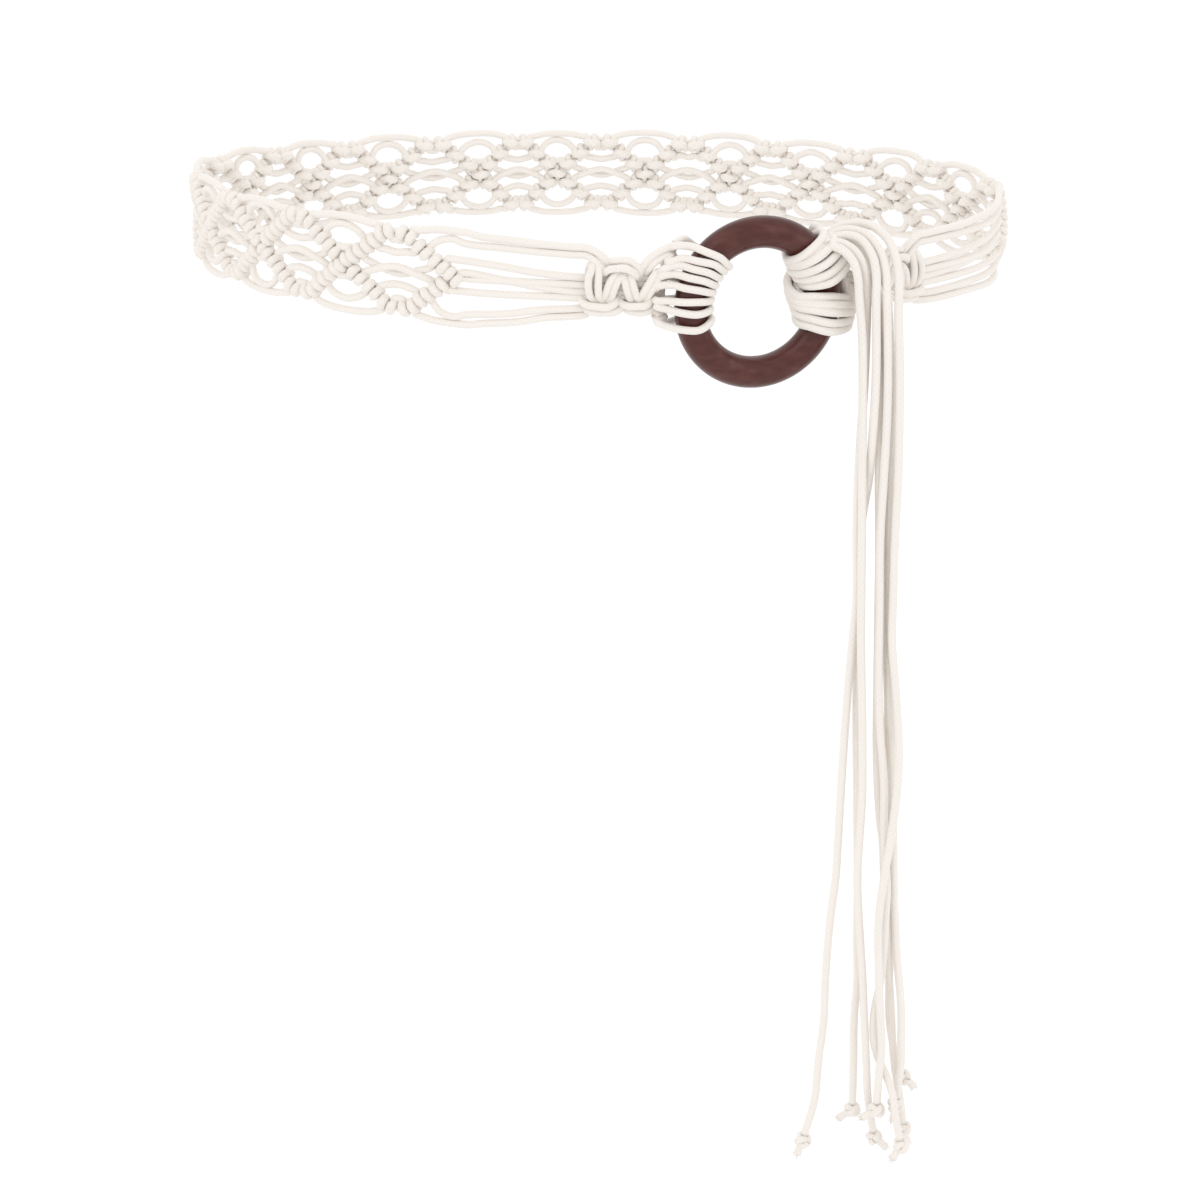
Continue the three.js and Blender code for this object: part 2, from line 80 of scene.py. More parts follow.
# Ring, as in the part's source
RING_YAW = math.radians(17)
RING_RADIUS = 24.5 * MM
TUBE_RADIUS = 5.5 * MM
RING_CENTRE = (RING_LOW + RING_HIGH) / 2

# Stations along the belt. The net starts a little further round than the part's panel, as in the photo.
LEFT_KNOTS_START = 575.9 * MM
RIGHT_KNOTS_START = 682.6 * MM
RIGHT_KNOTS_LENGTH = 17.8 * MM
FIRST_CROSSING = -12.0 * MM
LAST_CROSSING = 531.8 * MM
DIAMOND_SHARES = np.array(
    [1.223, 0.95, 1.08, 0.97, 0.99, 1.02, 0.9, 1.1, 0.97, 0.88, 1.01, 1.01, 0.92, 1.02, 1.13]
)

# Thickness of the net's cords, which are pulled tight, as a share of the hanging cords'. Then of a
# leader, and of a leader where the other one crosses it, as shares of the net's.
NET_TIGHTNESS = 0.88
LEADER_TIGHTNESS = 0.72
CROSSED_TIGHTNESS = 0.6

# Net: half a diamond's usual length, the bar's reach from a crossing to beside the peak, where on the
# bar a leader has its points, and the peak's height as a share of the bar's
HALF_PITCH = 17.92 * MM
BAR_REACH = np.array([14.92, 12.9]) * MM
LEADER_SHARES = (0.3, 0.5, 0.7, 0.9)
PEAK_RISE = 1.06
# Hitches of the three working cords of a half, from the middle out: where on the bar, and their slope.
# Then how uneven arcs and smiles are in height.
KNOT_SHARES = (0.3, 0.635, 0.97)
KNOT_SLOPES = (math.radians(41), math.radians(41), math.radians(24))
UNEVENNESS = 0.45 * MM

# Double half hitch on a leader: [along the leader, across it, outwards], in millimetres, and the
# share of the cord's thickness. The middle row is the lump that rides on the inside.
HITCH = np.array(
    [
        [-0.9, 2.8, -0.5, 0.95], [-1.0, 0.5, -1.5, 0.85], [-1.6, -1.75, 0.0, 1.1],
        [-1.65, -0.1, 1.45, 1.32], [-1.65, 1.75, -0.1, 1.1], [-2.0, 1.1, -2.1, 1.0],
        [0.0, 0.0, -2.85, 1.3],
        [2.0, -1.1, -2.1, 1.0], [1.65, -1.75, -0.1, 1.1], [1.65, 0.1, 1.45, 1.32],
        [1.6, 1.75, 0.0, 1.1], [1.0, -0.5, -1.5, 0.85], [0.9, -2.8, -0.5, 0.95],
    ]
)

# Working cords: arc over a crossing [along, height] and smile inside a diamond [along, height, outwards]
ARCS = (
    np.array([[-1.5, 5.2], [1.5, 5.2]]),
    np.array([[-4.4, 12.3], [0.0, 13.5], [4.4, 12.3]]),
    np.array([[-10.0, 15.4], [-5.0, 16.3], [5.0, 16.3], [10.0, 15.4]]),
)
SMILES = (
    np.array([[-8.0, 0.9, 0.6], [0.0, -1.5, 1.0], [8.0, 0.9, 0.6]]),
    np.array([[-3.6, 6.3, 0.0], [0.0, 5.7, 0.0], [3.6, 6.3, 0.0]]),
    np.array([[0.0, 11.0, -0.4]]),
)

# Hanging cords: the routes of the part's source, in millimetres, from the ring's right side downwards
CORD_ROUTES = [
    np.array(route) * MM
    for route in (
        [
            [77.6, -88.4, 11.4], [82, -90.4, 10.2], [85.6, -92.8, 6.6], [87.2, -94.2, 1.2],
            [87.8, -94.5, -5], [89.5, -94.5, -20], [90.9, -94.5, -55.7], [92.2, -94.5, -92.5],
            [93.4, -94.5, -130.6], [95.5, -94.5, -170], [96.3, -94.5, -194.2], [96, -94.5, -210.7],
            [95.9, -94.5, -227.3], [97.2, -94.5, -244.3], [99.6, -94.5, -270.1], [100.9, -94.5, -287.6],
            [102.3, -94.5, -305.3], [103.8, -94.5, -323.3], [106.3, -94.5, -337.4],
        ],
        [
            [77.6, -84.7, 11.6], [82.2, -86.3, 11.6], [86.8, -88.8, 9], [89.6, -90.5, 3.8],
            [90.6, -90.9, -3], [91.1, -90.9, -20.9], [91.1, -90.9, -38.7], [90.6, -90.9, -56.8],
            [90.4, -90.9, -71.5], [90.7, -90.9, -93.8], [91.6, -90.9, -116.6], [90.8, -90.9, -132.1],
            [89.7, -90.9, -155.7], [88.9, -90.9, -187.8], [88.5, -90.9, -212.5], [88.1, -90.9, -229.3],
            [86.7, -90.9, -246.3], [85.8, -90.9, -272.2], [85.8, -90.9, -289.8], [84.4, -90.9, -307.6],
            [83.4, -90.9, -325.7], [80, -90.9, -341.2],
        ],
        [
            [77.6, -81, 11.6], [82.8, -82.2, 13.4], [88, -85, 13], [92, -89.4, 8.6], [93.4, -93.2, 2.4],
            [93.6, -94.5, -5], [94.7, -94.5, -34.1], [94.4, -94.2, -55.7], [94.1, -90.9, -71.5],
            [93, -88.5, -83.5], [92.2, -87.3, -95.2], [92.9, -87.3, -118.1], [93.4, -88.5, -156.7],
            [94.8, -88.5, -189], [96.7, -88.5, -230.6], [97.5, -88.5, -256.2], [98.2, -88.5, -273.6],
            [97.7, -88.5, -291.2], [98.2, -88.5, -309.1], [98.5, -88.5, -328.6],
        ],
        [
            [77.6, -77.4, 11.6], [83, -78.4, 14.4], [89.6, -81.6, 14.2], [94.6, -86.8, 9.8],
            [96.8, -91.8, 3], [97.2, -94.2, -4], [98.8, -94.5, -34.1], [99.1, -94.5, -55.7],
            [98.9, -94.5, -70.3], [98.6, -94.5, -92.5], [99.4, -94.5, -115.2], [100.7, -94.5, -154.1],
            [102.1, -94.5, -170], [104, -94.5, -186.1], [104.7, -94.5, -202.4], [105.6, -94.5, -214.8],
            [107.1, -94.5, -231.6], [107.1, -94.5, -244.3], [106.9, -94.5, -261.4],
            [106.2, -94.5, -272.2], [104.9, -94.5, -281], [104.5, -94.5, -289.8],
            [105.3, -94.5, -298.6], [107.2, -94.5, -305.3], [110, -96.8, -310.7],
            [112.2, -101.4, -316.4], [113.4, -104.2, -324.9], [115.4, -104.6, -334.4],
        ],
        [
            [77.6, -73.8, 11.6], [83.2, -74.4, 15], [91, -77.6, 16.4], [97.6, -83.4, 12.8],
            [100.6, -89.6, 5.8], [101.2, -93.6, -2], [101.4, -94.5, -10], [102.9, -94.5, -34.1],
            [103.6, -94.5, -55.7], [103.9, -94.5, -70.3], [103.8, -94.5, -92.5], [104.2, -94.5, -115.2],
            [104.5, -94.5, -130.6], [107.1, -94.5, -154.1], [108.5, -95.5, -169.5],
            [108.7, -98.1, -184.3], [107.1, -98.1, -208.8], [105.7, -98.1, -221.3],
            [104.1, -98.1, -242.2], [105.3, -98.1, -267.9], [106.6, -98.1, -285.4],
            [107.6, -98.1, -298.6], [106.9, -99, -309.1], [106.5, -100, -321.1],
        ],
        [
            [77.4, -69.6, 8], [82.6, -71.6, 9.8], [87.6, -76.8, 9], [91.4, -82.4, 5.2],
            [93.6, -87.6, -0.6], [94.4, -90.7, -8], [94.9, -90.9, -16], [96.6, -90.9, -35.2],
            [97.3, -90.9, -56.8], [97.7, -90.9, -71.5], [98.8, -90.9, -93.8], [99.5, -90.9, -116.6],
            [100.6, -90.9, -155.7], [101.1, -90.9, -171.6], [102.1, -90.9, -187.8],
            [103.7, -90.9, -204.2], [105, -90.9, -212.5], [106.3, -90.9, -229.3],
            [107.6, -90.9, -246.3], [109.5, -90.9, -265.1], [111.4, -90.9, -285.2],
            [113, -90.9, -303.1], [114.2, -90.9, -312.1], [116.8, -90.9, -325.8],
            [118.2, -90.9, -335.9],
        ],
        [
            [79.2, -69.2, 4.6], [85, -71.6, 6], [91, -76.6, 5.6], [95.6, -82.2, 2.2],
            [97.8, -87.6, -3.6], [98.4, -90.7, -11], [100.6, -90.9, -35.2], [101.3, -90.9, -56.8],
            [101.9, -90.9, -71.5], [102.5, -90.9, -93.8], [103.3, -90.9, -116.6],
            [104.2, -90.9, -132.1], [104.9, -90.9, -155.7], [106.5, -90.9, -171.6],
            [107.6, -90.9, -187.8], [109.1, -90.9, -212.5], [110, -90.9, -229.3],
            [111.2, -90.9, -246.3], [112.7, -92.7, -263.5], [114.6, -94.5, -280.9],
            [115.5, -94.5, -298.6], [115.8, -94.5, -307.6], [115.1, -95.4, -314.6],
            [114.4, -96.8, -320.9],
        ],
        [
            [81, -68.8, 1], [86, -71.4, 2], [90.6, -76.2, 0.8], [94, -80.8, -2.6], [96, -84.8, -8],
            [96.8, -87, -15], [98.2, -87.3, -36.2], [99.6, -87.3, -58], [100.6, -87.3, -72.7],
            [101.7, -87.3, -95.2], [102.6, -87.3, -118.1], [103.1, -87.3, -133.6], [105, -87.3, -157.3],
            [105.5, -87.3, -173.3], [107.2, -87.3, -189.6], [108.7, -87.3, -214.4],
            [109.4, -87.3, -231.2], [110.2, -87.3, -248.3], [110.7, -87.3, -261.2],
            [110.6, -87.3, -274.3], [111.5, -87.3, -292], [113.4, -86.8, -303.1], [115, -86.4, -309.9],
            [117.3, -85.5, -316.2],
        ],
    )
]

# Left knots, in millimetres: [along from the knots' start, height, outwards]. The top pair of cords
# makes the bars along the edges, the bottom pair zigzags in front, and four run straight inside.
EDGE_BAR_OUTER = np.array(
    [
        [-3.0, 13.6, 0.0], [2.0, 13.7, 0.8], [6.1, 11.9, 1.4], [8.8, 9.2, 1.0], [9.6, 5.5, -1.6],
        [7.0, 0.5, -3.6], [3.2, -5.4, -2.6], [1.6, -7.4, 0.2], [3.6, -7.9, 2.2], [7.0, -7.9, 2.8],
        [11.6, -7.3, 2.4], [13.9, -5.4, 0.4], [13.4, -0.5, -3.4], [10.6, 5.5, -3.0], [9.2, 8.6, -0.6],
        [10.6, 9.8, 1.6], [13.2, 10.3, 2.2], [16.1, 10.0, 2.2], [18.8, 8.0, 2.0], [19.8, 4.6, 0.2],
        [18.6, -0.5, -3.2], [15.8, -5.2, -2.4], [15.0, -6.9, 0.4], [17.0, -7.4, 2.0], [21.2, -7.3, 2.4],
        [24.2, -5.6, 0.8], [24.8, -1.0, -2.6], [22.0, 2.6, -3.0], [20.2, 4.8, -0.4], [20.8, 8.8, 1.6],
        [24.4, 12.5, 1.6], [29.0, 14.7, 0.8],
    ]
)
EDGE_BAR_INNER = np.array(
    [
        [-3.0, 11.0, 0.0], [2.0, 11.0, 0.8], [5.0, 9.2, 1.6], [7.2, 6.4, 1.2], [7.4, 3.0, -1.6],
        [4.6, -0.5, -3.4], [0.9, -2.6, -2.0], [-0.3, -4.2, 0.6], [1.6, -5.3, 3.0], [4.8, -5.5, 4.0],
        [8.4, -5.6, 3.9], [11.2, -4.4, 2.6], [12.2, -1.6, -1.2], [10.0, 2.6, -3.6], [7.6, 4.2, -1.2],
        [7.7, 5.6, 1.6], [9.2, 7.3, 3.4], [12.0, 7.9, 4.0], [15.6, 7.6, 3.9], [18.0, 5.6, 2.6],
        [18.2, 2.4, -1.2], [15.4, -1.0, -3.6], [13.0, -2.8, -0.8], [13.2, -4.4, 1.8], [15.4, -5.0, 3.7],
        [18.4, -4.9, 4.1], [21.2, -4.7, 3.6], [23.4, -3.2, 1.4], [23.8, 0.4, -1.8], [22.4, 3.4, -2.2],
        [22.2, 6.2, 0.6], [23.8, 9.3, 1.8], [27.7, 11.6, 1.2], [30.0, 12.2, 0.6],
    ]
)
ZIGZAG_RIGHT = np.array(
    [
        [-3.0, -7.6, 0.0], [2.2, -6.8, -1.4], [4.6, -3.0, -3.8], [4.8, 3.5, -3.6], [4.6, 6.8, -2.0],
        [5.3, 8.2, 0.8], [5.7, 6.6, 2.6], [5.6, 3.0, 3.6], [5.6, -0.8, 3.4], [6.2, -3.4, 2.2],
        [7.9, -4.9, 1.2], [9.6, -3.2, 2.0], [10.8, 0.4, 3.2], [11.9, 3.2, 3.3], [13.6, 5.3, 2.2],
        [15.1, 5.8, 1.2], [16.3, 4.6, 2.2], [17.4, 1.2, 3.3], [18.6, -2.4, 2.6], [20.0, -4.1, 1.3],
        [21.4, -3.0, 1.8], [23.2, 0.2, 3.2], [25.0, 3.2, 3.3], [26.5, 6.6, 2.2], [28.0, 6.4, 0.0],
        [27.8, 2.5, -2.6], [27.2, -2.6, -2.4], [28.6, -5.2, -0.8],
    ]
)
ZIGZAG_LEFT = np.array(
    [
        [-3.0, -10.2, 0.0], [1.5, -9.4, -1.2], [2.6, -5.0, -3.8], [2.2, 3.0, -3.6], [2.5, 6.8, -1.6],
        [3.6, 8.1, 1.0], [3.2, 6.4, 3.0], [2.4, 4.0, 3.5], [2.3, 0.6, 3.7], [3.1, -2.6, 2.6],
        [5.0, -4.2, 1.3], [7.0, -3.6, 1.6], [8.2, -0.6, 3.0], [9.4, 2.8, 3.4], [11.4, 5.4, 2.4],
        [12.9, 6.0, 1.2], [13.9, 4.8, 2.4], [14.8, 1.6, 3.4], [15.9, -1.9, 2.8], [17.4, -3.9, 1.3],
        [19.0, -3.4, 1.6], [20.4, -0.8, 3.0], [22.4, 2.8, 3.5], [24.5, 6.0, 2.8], [26.0, 6.2, 0.2],
        [25.6, 1.5, -3.0], [24.4, -4.4, -2.2], [25.2, -7.4, -0.4], [28.0, -9.2, 0.2],
    ]
)
# The four inside: stations, and each one's heights at the first two together, the third and the last
INNER_STATIONS = (-3.0, 1.0, 12.0, 24.0)
INNER_HEIGHTS = np.array([[3.4, 2.8, 4.6], [0.8, 0.9, 2.4], [-1.6, -1.0, -0.4], [-3.8, -2.9, -2.8]])
# The right knots are this many of the rows, mirrored
RIGHT_KNOTS_ROWS = 20
# Row of each knot line where its cord is hidden under the others: the meshes of one cord meet there
HIDDEN_ROWS = (5, 5, 2, 2, 2, 2, 3, 3)

# End knot: how far the trefoil's middle is below the cord's end, the size and depth of its lobes, the
# share of the thickness its cord has, and its points
KNOT_DROP = 2.9 * MM
KNOT_LOBE = 0.72 * MM
KNOT_DEPTH = 1.5 * MM
KNOT_TIGHTNESS = 0.9
KNOT_POINTS = 49
# Tip below the knot: each cord's lean to the right, in degrees from straight down, its length and
# points, and its shares of the thickness at the start, in the middle and at the end
TIP_LEANS = (40, -4, -52, -36, -58, 10, 0, 26)
TIP_LENGTH = 6.4 * MM
TIP_POINTS = 9
TIP_SHARES = (0.8, 0.95, 1.1)
# Frayed fibres: ranges of their distance from the tip's middle as a share of the radius, of that
# distance's growth, and of their length past the tip in millimetres. Then the share of the distance
# at the root, and the radii at the root and the end in millimetres.
FIBRE_COUNT = 14
FIBRE_REACH = (0.3, 1.1)
FIBRE_GROWTH = (1.0, 1.7)
FIBRE_LENGTH = (0.6, 2.2)
FIBRE_ROOT = 0.8
FIBRE_RADII = (0.22, 0.08)
FIBRE_POINTS = 5
FIBRE_SIDES = 5
FIBRE_SEED = 20

# Cow hitches, a row for each cord from the top: its angle on the ring a little outside it, at its
# outer side, in front and in the hole
COW_HITCHES = np.array(
    [
        [143.5, 139.5, 132.2, 130.0],
        [153.5, 148.0, 139.2, 137.0],
        [157.0, 152.5, 146.9, 145.5],
        [161.0, 158.0, 154.2, 154.5],
        [166.5, 164.5, 162.3, 162.6],
        [174.5, 174.0, 171.5, 170.6],
        [177.5, 179.0, 181.6, 180.9],
        [186.0, 189.5, 194.5, 192.5],
    ]
)
# A cow hitch's places: angles round the tube in degrees, and distances from its middle in millimetres
COW_TUBE_ANGLES = (4, 12, 50, 90, 130, 168, 210, 255, 300, 330, 338)
COW_DISTANCES = (12.4, 9.0, 7.5, 7.0, 6.9, 6.9, 7.0, 7.1, 8.2, 11.0, 12.2)

# Two turns on the ring's right side, a row for each cord. Angles on the ring of the first turn at its
# outer side, in front, in the hole and where it turns behind; the same for the second turn without
# the last; and the cord's distance from the tube's middle in front and twice in the hole, in millimetres
TURNS = np.array(
    [
        [-1.0, 4.5, 11.0, 27.0, 44.5, 50.0, 54.5, 7.3, 12.4, 7.1],
        [-4.5, -1.2, 2.5, 15.0, 38.0, 42.5, 48.5, 9.0, 13.0, 8.0],
        [-8.0, -7.3, -5.4, 4.0, 33.0, 34.3, 39.5, 9.4, 12.6, 9.2],
        [-11.5, -16.0, -17.5, -8.0, 28.0, 26.0, 29.0, 9.4, 11.2, 9.0],
        [-15.5, -23.0, -28.0, -18.0, 24.0, 18.5, 19.4, 9.4, 9.6, 8.4],
        [-4.0, 0.0, 4.0, 18.0, 41.0, 45.0, 47.0, 7.0, 9.5, 7.2],
        [-9.0, -9.0, -8.0, 4.0, 34.0, 33.5, 38.0, 7.0, 9.0, 7.6],
        [-13.5, -19.0, -22.0, -8.0, 27.5, 23.0, 24.0, 7.0, 7.6, 7.2],
    ]
)
HOLE_2_COLUMN = 6
# Angles round the tube at the places of both turns, in degrees
TURN_TUBE_ANGLES = (-25, 10, 45, 90, 130, 160, 192, 250, 310, 360, 405, 450, 490, 525, 565)
# After its second turn each of the first cords comes round behind the tube to the ring's outer side,
# at these angles on the ring. The others leave the tube sooner.
OUTER_ANGLES = (43.0, 44.3, 45.6, 46.9, 48.2)
# Leads: a place beside the right knots, with a height in millimetres for each cord
LEAD_HEIGHTS = (-0.5, -2.4, -4.3, -6.0, -7.6, -1.2, -3.6, -6.0)
LEAD_REACH = 3 * MM
LEAD_OUT = 0.6 * MM
# Fans: where on its way from the knots to the net a loose cord has its points
FAN_SHARES = (0.3, 0.62)

# Lines: samples of the belt line, the step in angle that gives its direction, steps from each point of
# a line to the next, the smallest of them, a line's fewest points, and a direction that no cord
# starts along
LINE_SAMPLES = 7201
TURN_STEP = 1e-4
SPAN_STEPS = 16
SMALLEST_STEP = 1e-6
FEWEST_POINTS = 4
START_WAY = (0.3, 0.2, 0.93)

# Ring's mesh: steps round the ring and faces round its tube
RING_STEPS = 160
RING_TUBE_SIDES = 48

# Finishes: plait's and fibres' shares of the cord's height, the strength of the painted shade in its
# hollows, and its lighter tone in places
PLAIT_SHARE = 0.65
FIBRE_SHARE = 0.35
PAINTED_SHADE_SHARE = 0.14
LIGHTER = 1.03

# Stage: half the floor's width, and the lights' names, places, widths and shares of the key light's power
FLOOR_HALF = 12.0
LIGHTS = (
    ("key", (-0.7, -0.9, 1.0), 0.9, 1.0),
    ("fill", (1.0, -0.7, 0.5), 0.8, 0.35),
    ("back", (0.2, 1.0, 0.9), 0.9, 0.4),
)
LIGHT_AIM = (0.03, -0.04, -0.08)


# Properties


def colour_property(name, description, red, green, blue):
    """An opaque colour among the settings."""
    return bpy.props.FloatVectorProperty(
        name=name, description=description, subtype="COLOR", size=4, default=(red, green, blue, 1)
    )


class BELT_PG_cord(bpy.types.PropertyGroup):
    """Sizes and colours of the cotton cord, with the colour of the painted shade in its hollows"""

    diameter: bpy.props.FloatProperty(
        name="Diameter", description="Thickness of the cord", default=3 * MM, unit="LENGTH"
    )
    sides: bpy.props.IntProperty(name="Sides", description="Faces round a cord", default=12, min=6)
    spacing: bpy.props.FloatProperty(
        name="Ring Spacing", description="Distance between rings of a tube", default=0.7 * MM, unit="LENGTH"
    )
    colour: colour_property("Colour", "Undyed cotton", 0.845, 0.8, 0.75)
    # Painted shade: a darker colour mixed into the plait's hollows, standing in for shade between strands
    painted_shade_colour: colour_property("Painted Hollow Shade", "Painted shade between strands", 0.62, 0.5, 0.4)


class BELT_PG_ring(bpy.types.PropertyGroup):
    """Colours of the wooden ring"""

    colour: colour_property("Wood", "Stained wood", 0.072, 0.0155, 0.0115)
    grain_colour: colour_property("Grain", "Lighter grain lines", 0.115, 0.036, 0.028)


class BELT_PG_stage(bpy.types.PropertyGroup):
    """Floor and light"""

    floor_drop: bpy.props.FloatProperty(
        name="Floor Drop", description="Height of the floor", default=-0.4, unit="LENGTH"
    )
    floor_colour: colour_property("Floor", "Pale floor", 0.97, 0.97, 0.97)
    sky: bpy.props.FloatProperty(name="Sky", description="Strength of the white surroundings", default=1.05)
    key_power: bpy.props.FloatProperty(
        name="Key Light", description="Power of the large light", default=1.5, unit="POWER"
    )


# Lines


def belt_line(turn):
    """Belt line at an angle: an oval, deeper behind and flattened there, whose height is three waves."""
    depth = np.where(
        np.sin(turn) > 0, LOOP_BACK_DEPTH * (1 - BACK_FLATTENING * np.cos(turn) ** 2), LOOP_FRONT_DEPTH
    )
    height = LINE_TILT * np.cos(turn) + LINE_SAG * np.cos(2 * turn) + LINE_TWIST * np.sin(2 * turn)
    return np.stack([LOOP_HALF_WIDTH * np.cos(turn), depth * np.sin(turn), height], axis=-1)


LINE_TURNS = np.linspace(0, 2 * math.pi, LINE_SAMPLES)
LINE_STATIONS = np.concatenate(
    [[0], np.cumsum(np.linalg.norm(np.diff(belt_line(LINE_TURNS), axis=0), axis=1))]
)
LOOP_LENGTH = LINE_STATIONS[-1]


def on_belt(places):
    """Points for places [station, height, outwards]: the belt line's, moved up and along its normal."""
    places = np.asarray(places, dtype=float)
    turn = np.interp(np.mod(places[..., 0], LOOP_LENGTH), LINE_STATIONS, LINE_TURNS)
    along = belt_line(turn + TURN_STEP) - belt_line(turn - TURN_STEP)
    out = np.stack([along[..., 1], -along[..., 0], np.zeros_like(turn)], axis=-1)
    out /= np.linalg.norm(out, axis=-1, keepdims=True)
    return belt_line(turn) + out * places[..., 2:3] + np.array([0, 0, 1]) * places[..., 1:2]


def on_ring(places):
    """Points for places [angle on the ring, angle round its tube, distance from the tube's middle].

    Degrees and metres. Round the tube, 0 is outermost, 90 the front, 180 the hole and 270 the back."""
    places = np.asarray(places, dtype=float)
    around, tube = np.radians(places[..., 0]), np.radians(places[..., 1])
    across = np.array([math.cos(RING_YAW), math.sin(RING_YAW), 0])
    front = np.array([math.sin(RING_YAW), -math.cos(RING_YAW), 0])
    radial = np.cos(around)[..., None] * across + np.sin(around)[..., None] * np.array([0, 0, 1])
    reach = RING_RADIUS + places[..., 2] * np.cos(tube)
    return RING_CENTRE + radial * reach[..., None] + front * (places[..., 2] * np.sin(tube))[..., None]


def smooth(points, spacing):
    """Centripetal Catmull-Rom line through the points, at even steps about spacing apart.

    Columns after the first three, such as a radius, are carried along the same way. Also gives the
    length of line from its start to each of the points."""
    points = np.asarray(points, dtype=float)
    padded = np.vstack([2 * points[0] - points[1], points, 2 * points[-1] - points[-2]])
    steps = np.sqrt(np.linalg.norm(np.diff(padded[:, :3], axis=0), axis=1))
    knots = np.concatenate([[0], np.cumsum(np.maximum(steps, SMALLEST_STEP))])
    t0, t1, t2, t3 = (knots[i : len(knots) - 3 + i][:, None, None] for i in range(4))
    p0, p1, p2, p3 = (padded[i : len(padded) - 3 + i][:, None, :] for i in range(4))
    t = t1 + (t2 - t1) * np.linspace(0, 1, SPAN_STEPS + 1)[:-1][None, :, None]
    a1 = ((t1 - t) * p0 + (t - t0) * p1) / (t1 - t0)
    a2 = ((t2 - t) * p1 + (t - t1) * p2) / (t2 - t1)
    a3 = ((t3 - t) * p2 + (t - t2) * p3) / (t3 - t2)
    b1 = ((t2 - t) * a1 + (t - t0) * a2) / (t2 - t0)
    b2 = ((t3 - t) * a2 + (t - t1) * a3) / (t3 - t1)
    dense = ((t2 - t) * b1 + (t - t1) * b2) / (t2 - t1)
    dense = np.vstack([dense.reshape(-1, points.shape[1]), points[-1]])
    lengths = np.concatenate([[0], np.cumsum(np.linalg.norm(np.diff(dense[:, :3], axis=0), axis=1))])
    even = np.linspace(0, lengths[-1], max(FEWEST_POINTS, int(round(lengths[-1] / spacing)) + 1))
    line = np.stack([np.interp(even, lengths, column) for column in dense.T], axis=1)
    return line, lengths[::SPAN_STEPS]


def carried_sides(centres):
    """Two directions across a line at each of its points, carried along it without a twist."""
    tangents = np.gradient(centres, axis=0)
    tangents /= np.linalg.norm(tangents, axis=1, keepdims=True)
    side = np.cross(tangents[0], START_WAY)
    sides = np.empty_like(tangents)
    for i, tangent in enumerate(tangents):
        side = side - tangent * side.dot(tangent)
        side /= np.linalg.norm(side)
        sides[i] = side
    return sides, np.cross(tangents, sides)


def tube(line, sides, part=slice(None)):
    """Tube whose ring k is centre + radius (cos v * side + sin v * up). Flat closed ends.

    line holds [x, y, z, radius], and part picks the rings that are drawn, so that two parts of a line
    meet without a seam. Gives points, four-cornered faces, three-cornered end faces and the faces'
    map: length along the cord in cord widths, and share of the way round."""
    across, up = (way[part] for way in carried_sides(line[:, :3]))
    steps = np.linalg.norm(np.diff(line[:, :3], axis=0), axis=1)
    along = (np.concatenate([[0], np.cumsum(steps)]) / (2 * np.median(line[:, 3])))[part]
    centres, radii = line[part, :3], line[part, 3]
    angles = np.linspace(0, 2 * math.pi, sides, endpoint=False)
    rings = centres[:, None] + radii[:, None, None] * (
        np.cos(angles)[None, :, None] * across[:, None] + np.sin(angles)[None, :, None] * up[:, None]
    )
    count = len(centres)
    points = np.vstack([rings.reshape(-1, 3), centres[0], centres[-1]])
    first = np.arange(sides)
    second = (first + 1) % sides
    starts = (np.arange(count - 1) * sides)[:, None]
    ends = starts + sides
    quads = np.stack([starts + first, starts + second, ends + second, ends + first], axis=-1)
    last = (count - 1) * sides
    low_end = np.stack([np.full(sides, count * sides), second, first], axis=-1)
    high_end = np.stack([np.full(sides, count * sides + 1), last + first, last + second], axis=-1)
    share = np.arange(sides + 1) / sides
    quad_map = np.empty((count - 1, sides, 4, 2))
    quad_map[:, :, 0, 0] = quad_map[:, :, 1, 0] = along[:-1, None]
    quad_map[:, :, 2, 0] = quad_map[:, :, 3, 0] = along[1:, None]
    quad_map[:, :, 0, 1] = quad_map[:, :, 3, 1] = share[None, :-1]
    quad_map[:, :, 1, 1] = quad_map[:, :, 2, 1] = share[None, 1:]
    return points, quads.reshape(-1, 4), np.vstack([low_end, high_end]), quad_map.reshape(-1, 2)


def add_object(name, data):
    """An object in the scene, for a mesh, a camera or a light."""
    piece = bpy.data.objects.new(name, data)
    bpy.context.scene.collection.objects.link(piece)
    return piece


def add_tubes(name, tubes, material):
    """One mesh of several tubes, each closed by itself. Sides are smooth and ends are flat."""
    points, quads, ends, maps, offset = [], [], [], [], 0
    for tube_points, tube_quads, tube_ends, tube_map in tubes:
        points.append(tube_points)
        quads.append(tube_quads + offset)
        ends.append(tube_ends + offset)
        maps.append(tube_map)
        offset += len(tube_points)
    quads, ends = np.vstack(quads), np.vstack(ends)
    mesh = bpy.data.meshes.new(name)
    mesh.from_pydata(np.vstack(points).tolist(), [], quads.tolist() + ends.tolist())
    layer = mesh.uv_layers.new(name="cord")
    flat = np.vstack([*maps, np.zeros((3 * len(ends), 2))])
    layer.data.foreach_set("uv", flat.ravel())
    mesh.polygons.foreach_set("use_smooth", np.arange(len(mesh.polygons)) < len(quads))
    mesh.materials.append(material)
    return add_object(name, mesh)


# Cord paths


def crossing_stations():
    """Stations of the crossings: the net's length shared out by the diamonds' shares."""
    ends = np.concatenate([[0], np.cumsum(DIAMOND_SHARES)]) / DIAMOND_SHARES.sum()
    return FIRST_CROSSING + ends * (LAST_CROSSING - FIRST_CROSSING)


def hitch_places(along, height, slope, radius):
    """A double half hitch round a leader that rises at slope: the table HITCH turned by that angle."""
    table = HITCH * [MM, MM, MM, radius]
    return np.column_stack(
        [
            along + table[:, 0] * math.cos(slope) - table[:, 1] * math.sin(slope),
            height + table[:, 0] * math.sin(slope) + table[:, 1] * math.cos(slope),
            table[:, 2:],
        ]
    )


